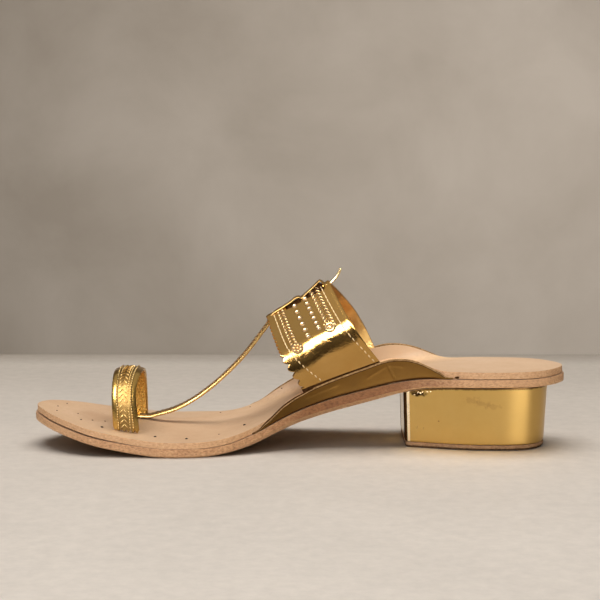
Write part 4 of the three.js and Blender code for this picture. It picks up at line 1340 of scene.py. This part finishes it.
def extrudedEdge(bm, edge, move):
    made = bmesh.ops.extrude_edge_only(bm, edges=[edge])["geom"]
    bmesh.ops.translate(bm, verts=[item for item in made if isinstance(item, bmesh.types.BMVert)], vec=move)
    return [item for item in made if isinstance(item, bmesh.types.BMEdge)][0]


def buildTable():
    material, tree, shader = newMaterial("studio_plaster", {"Roughness": 0.75, "Specular IOR Level": 0.2})
    coords = objectCoords(tree)
    across = axisOf(tree, coords, "Y")
    fine = noiseOf(tree, coords, 160, detail=5, roughness=0.65)
    broad = noiseOf(tree, coords, 14, detail=5, roughness=0.6)
    # painted shade: darker towards the back and along the far edge
    depth = rangeOf(tree, across, *stage["tableFade"], 0.0, 1.0)
    tone = mixColours(tree, depth, stage["tableNear"], stage["tableFar"])
    back = stage["tableBack"]
    edge = rangeOf(tree, across, back - stage["edgeFade"], back, 0.0, 1.0)
    tone = mixColours(tree, edge, tone, stage["tableEdge"])
    speck = rampOf(tree, fine, [(0.3, (0.93, 0.93, 0.93)), (0.7, (1.04, 1.04, 1.04))])
    cloud = rampOf(tree, broad, [(0.3, (0.96, 0.96, 0.96)), (0.7, (1.03, 1.03, 1.03))])
    tone = mixColours(tree, 1.0, mixColours(tree, 1.0, tone, speck, "MULTIPLY"), cloud, "MULTIPLY")
    plug(tree, shader, {"Base Color": tone, "Normal": bumpOf(tree, fine, 0.15, 1.0)})

    bm = bmesh.new()
    half = stage["tableHalfWidth"]
    near = [bm.verts.new((x, stage["tableFront"], 0)) for x in (-half, half)]
    far = extrudedEdge(bm, bm.edges.new(near), (0, back - stage["tableFront"], 0))
    extrudedEdge(bm, far, (0, 0, -stage["tableDrop"]))
    bmesh.ops.bevel(
        bm, geom=[far], offset=stage["tableRound"], affect="EDGES", segments=4, profile=0.5, material=-1)
    stagePiece(bm, "studio_table", material)


def buildWall():
    material, tree, shader = newMaterial("studio_wall", {"Roughness": 0.9, "Specular IOR Level": 0.1})
    coords = objectCoords(tree)
    mottle = noiseOf(tree, coords, 4.5, detail=6, roughness=0.55, distortion=0.3)
    side = rangeOf(tree, axisOf(tree, coords, "X"), -0.4, 0.4, -0.13, 0.13)      # painted light: paler to the right
    patches = mathOf(tree, "ADD", mottle, side)
    tone = rampOf(tree, patches, [(0.25, stage["wallDark"]), (0.75, stage["wallLight"])])
    plug(tree, shader, {"Base Color": tone})

    bm = bmesh.new()
    half = stage["wallHalfWidth"]
    low = [bm.verts.new((x, stage["wallY"], stage["wallLow"])) for x in (half, -half)]
    extrudedEdge(bm, bm.edges.new(low), (0, 0, stage["wallHigh"] - stage["wallLow"]))
    stagePiece(bm, "studio_wall", material)


def softLight(name, place, target, size, power, diffuse=True, glossy=True, onlyOn=None, blockedBy=None):
    data = bpy.data.lights.new(name, "AREA")
    data.shape = "RECTANGLE"
    data.size, data.size_y = size
    data.energy = power
    data.color = (1.0, 0.97, 0.94)
    light = bpy.data.objects.new(name, data)
    light.location = place
    light.rotation_euler = (Vector(target) - Vector(place)).to_track_quat("-Z", "Y").to_euler()
    light.visible_camera = False
    light.visible_diffuse = diffuse
    light.visible_glossy = glossy
    if onlyOn:
        light.light_linking.receiver_collection = onlyOn
    if blockedBy:
        light.light_linking.blocker_collection = blockedBy
    bpy.context.scene.collection.objects.link(light)


buildTable()
buildWall()
softLight("overhead_softbox", (-0.05, 0.3, 1.3), (0, 0, 0), (1.3, 0.8), 20, glossy=False)
softLight("front_fill", (-0.1, -1.35, 0.7), (0, 0, 0.03), (1.4, 0.7), 18, glossy=False, onlyOn=shoePieces)
softLight("front_strip", (-0.35, -0.77, 0.757), (0, 0, 0.05), (1.28, 0.52), 40, diffuse=False)
softLight("ceiling_card", (0, 0.2, 1.7), (0, 0.2, 0), (3, 3), 8, diffuse=False)
softLight("right_card", (0.75, -1.05, 0.22), (0.09, -0.02, 0.02), (0.5, 0.44), 11.5, diffuse=False,
          onlyOn=heelFoilOnly)
softLight("left_card", (-0.847, -0.093, 0.05), (0.05, -0.015, 0.015), (0.35, 0.16), 6, diffuse=False,
          onlyOn=heelFoilOnly, blockedBy=heelFoilOnly)
softLight("wall_light", (0.25, 0.75, 0.08), (0.1, 1.55, 0.03), (1.4, 0.5), 5.1, glossy=False)

world = bpy.data.worlds.new("studio_room")
world.use_nodes = True
room = world.node_tree
roomHeight = axisOf(room, addNode(room, "ShaderNodeTexCoord", {}).outputs["Generated"], "Z")
roomTone = rampOf(room, roomHeight, [
    (0.0, (0.05, 0.044, 0.037)), (0.3, (0.06, 0.054, 0.047)), (0.8, (0.24, 0.228, 0.208))])
plug(room, room.nodes["Background"], {"Color": roomTone})
bpy.context.scene.world = world

camera = {"place": (0, -0.7903, 0.16176), "pitch": 83.2, "lens": 101.16, "sensor": 36}
cameraData = bpy.data.cameras.new("photo_camera")
cameraData.lens = camera["lens"]
cameraData.sensor_width = camera["sensor"]
cameraObject = bpy.data.objects.new("photo_camera", cameraData)
cameraObject.location = camera["place"]
cameraObject.rotation_euler = (math.radians(camera["pitch"]), 0, 0)
bpy.context.scene.collection.objects.link(cameraObject)
bpy.context.scene.camera = cameraObject
bpy.context.scene.view_settings.view_transform = "Standard"
print("stage, light and camera ready")
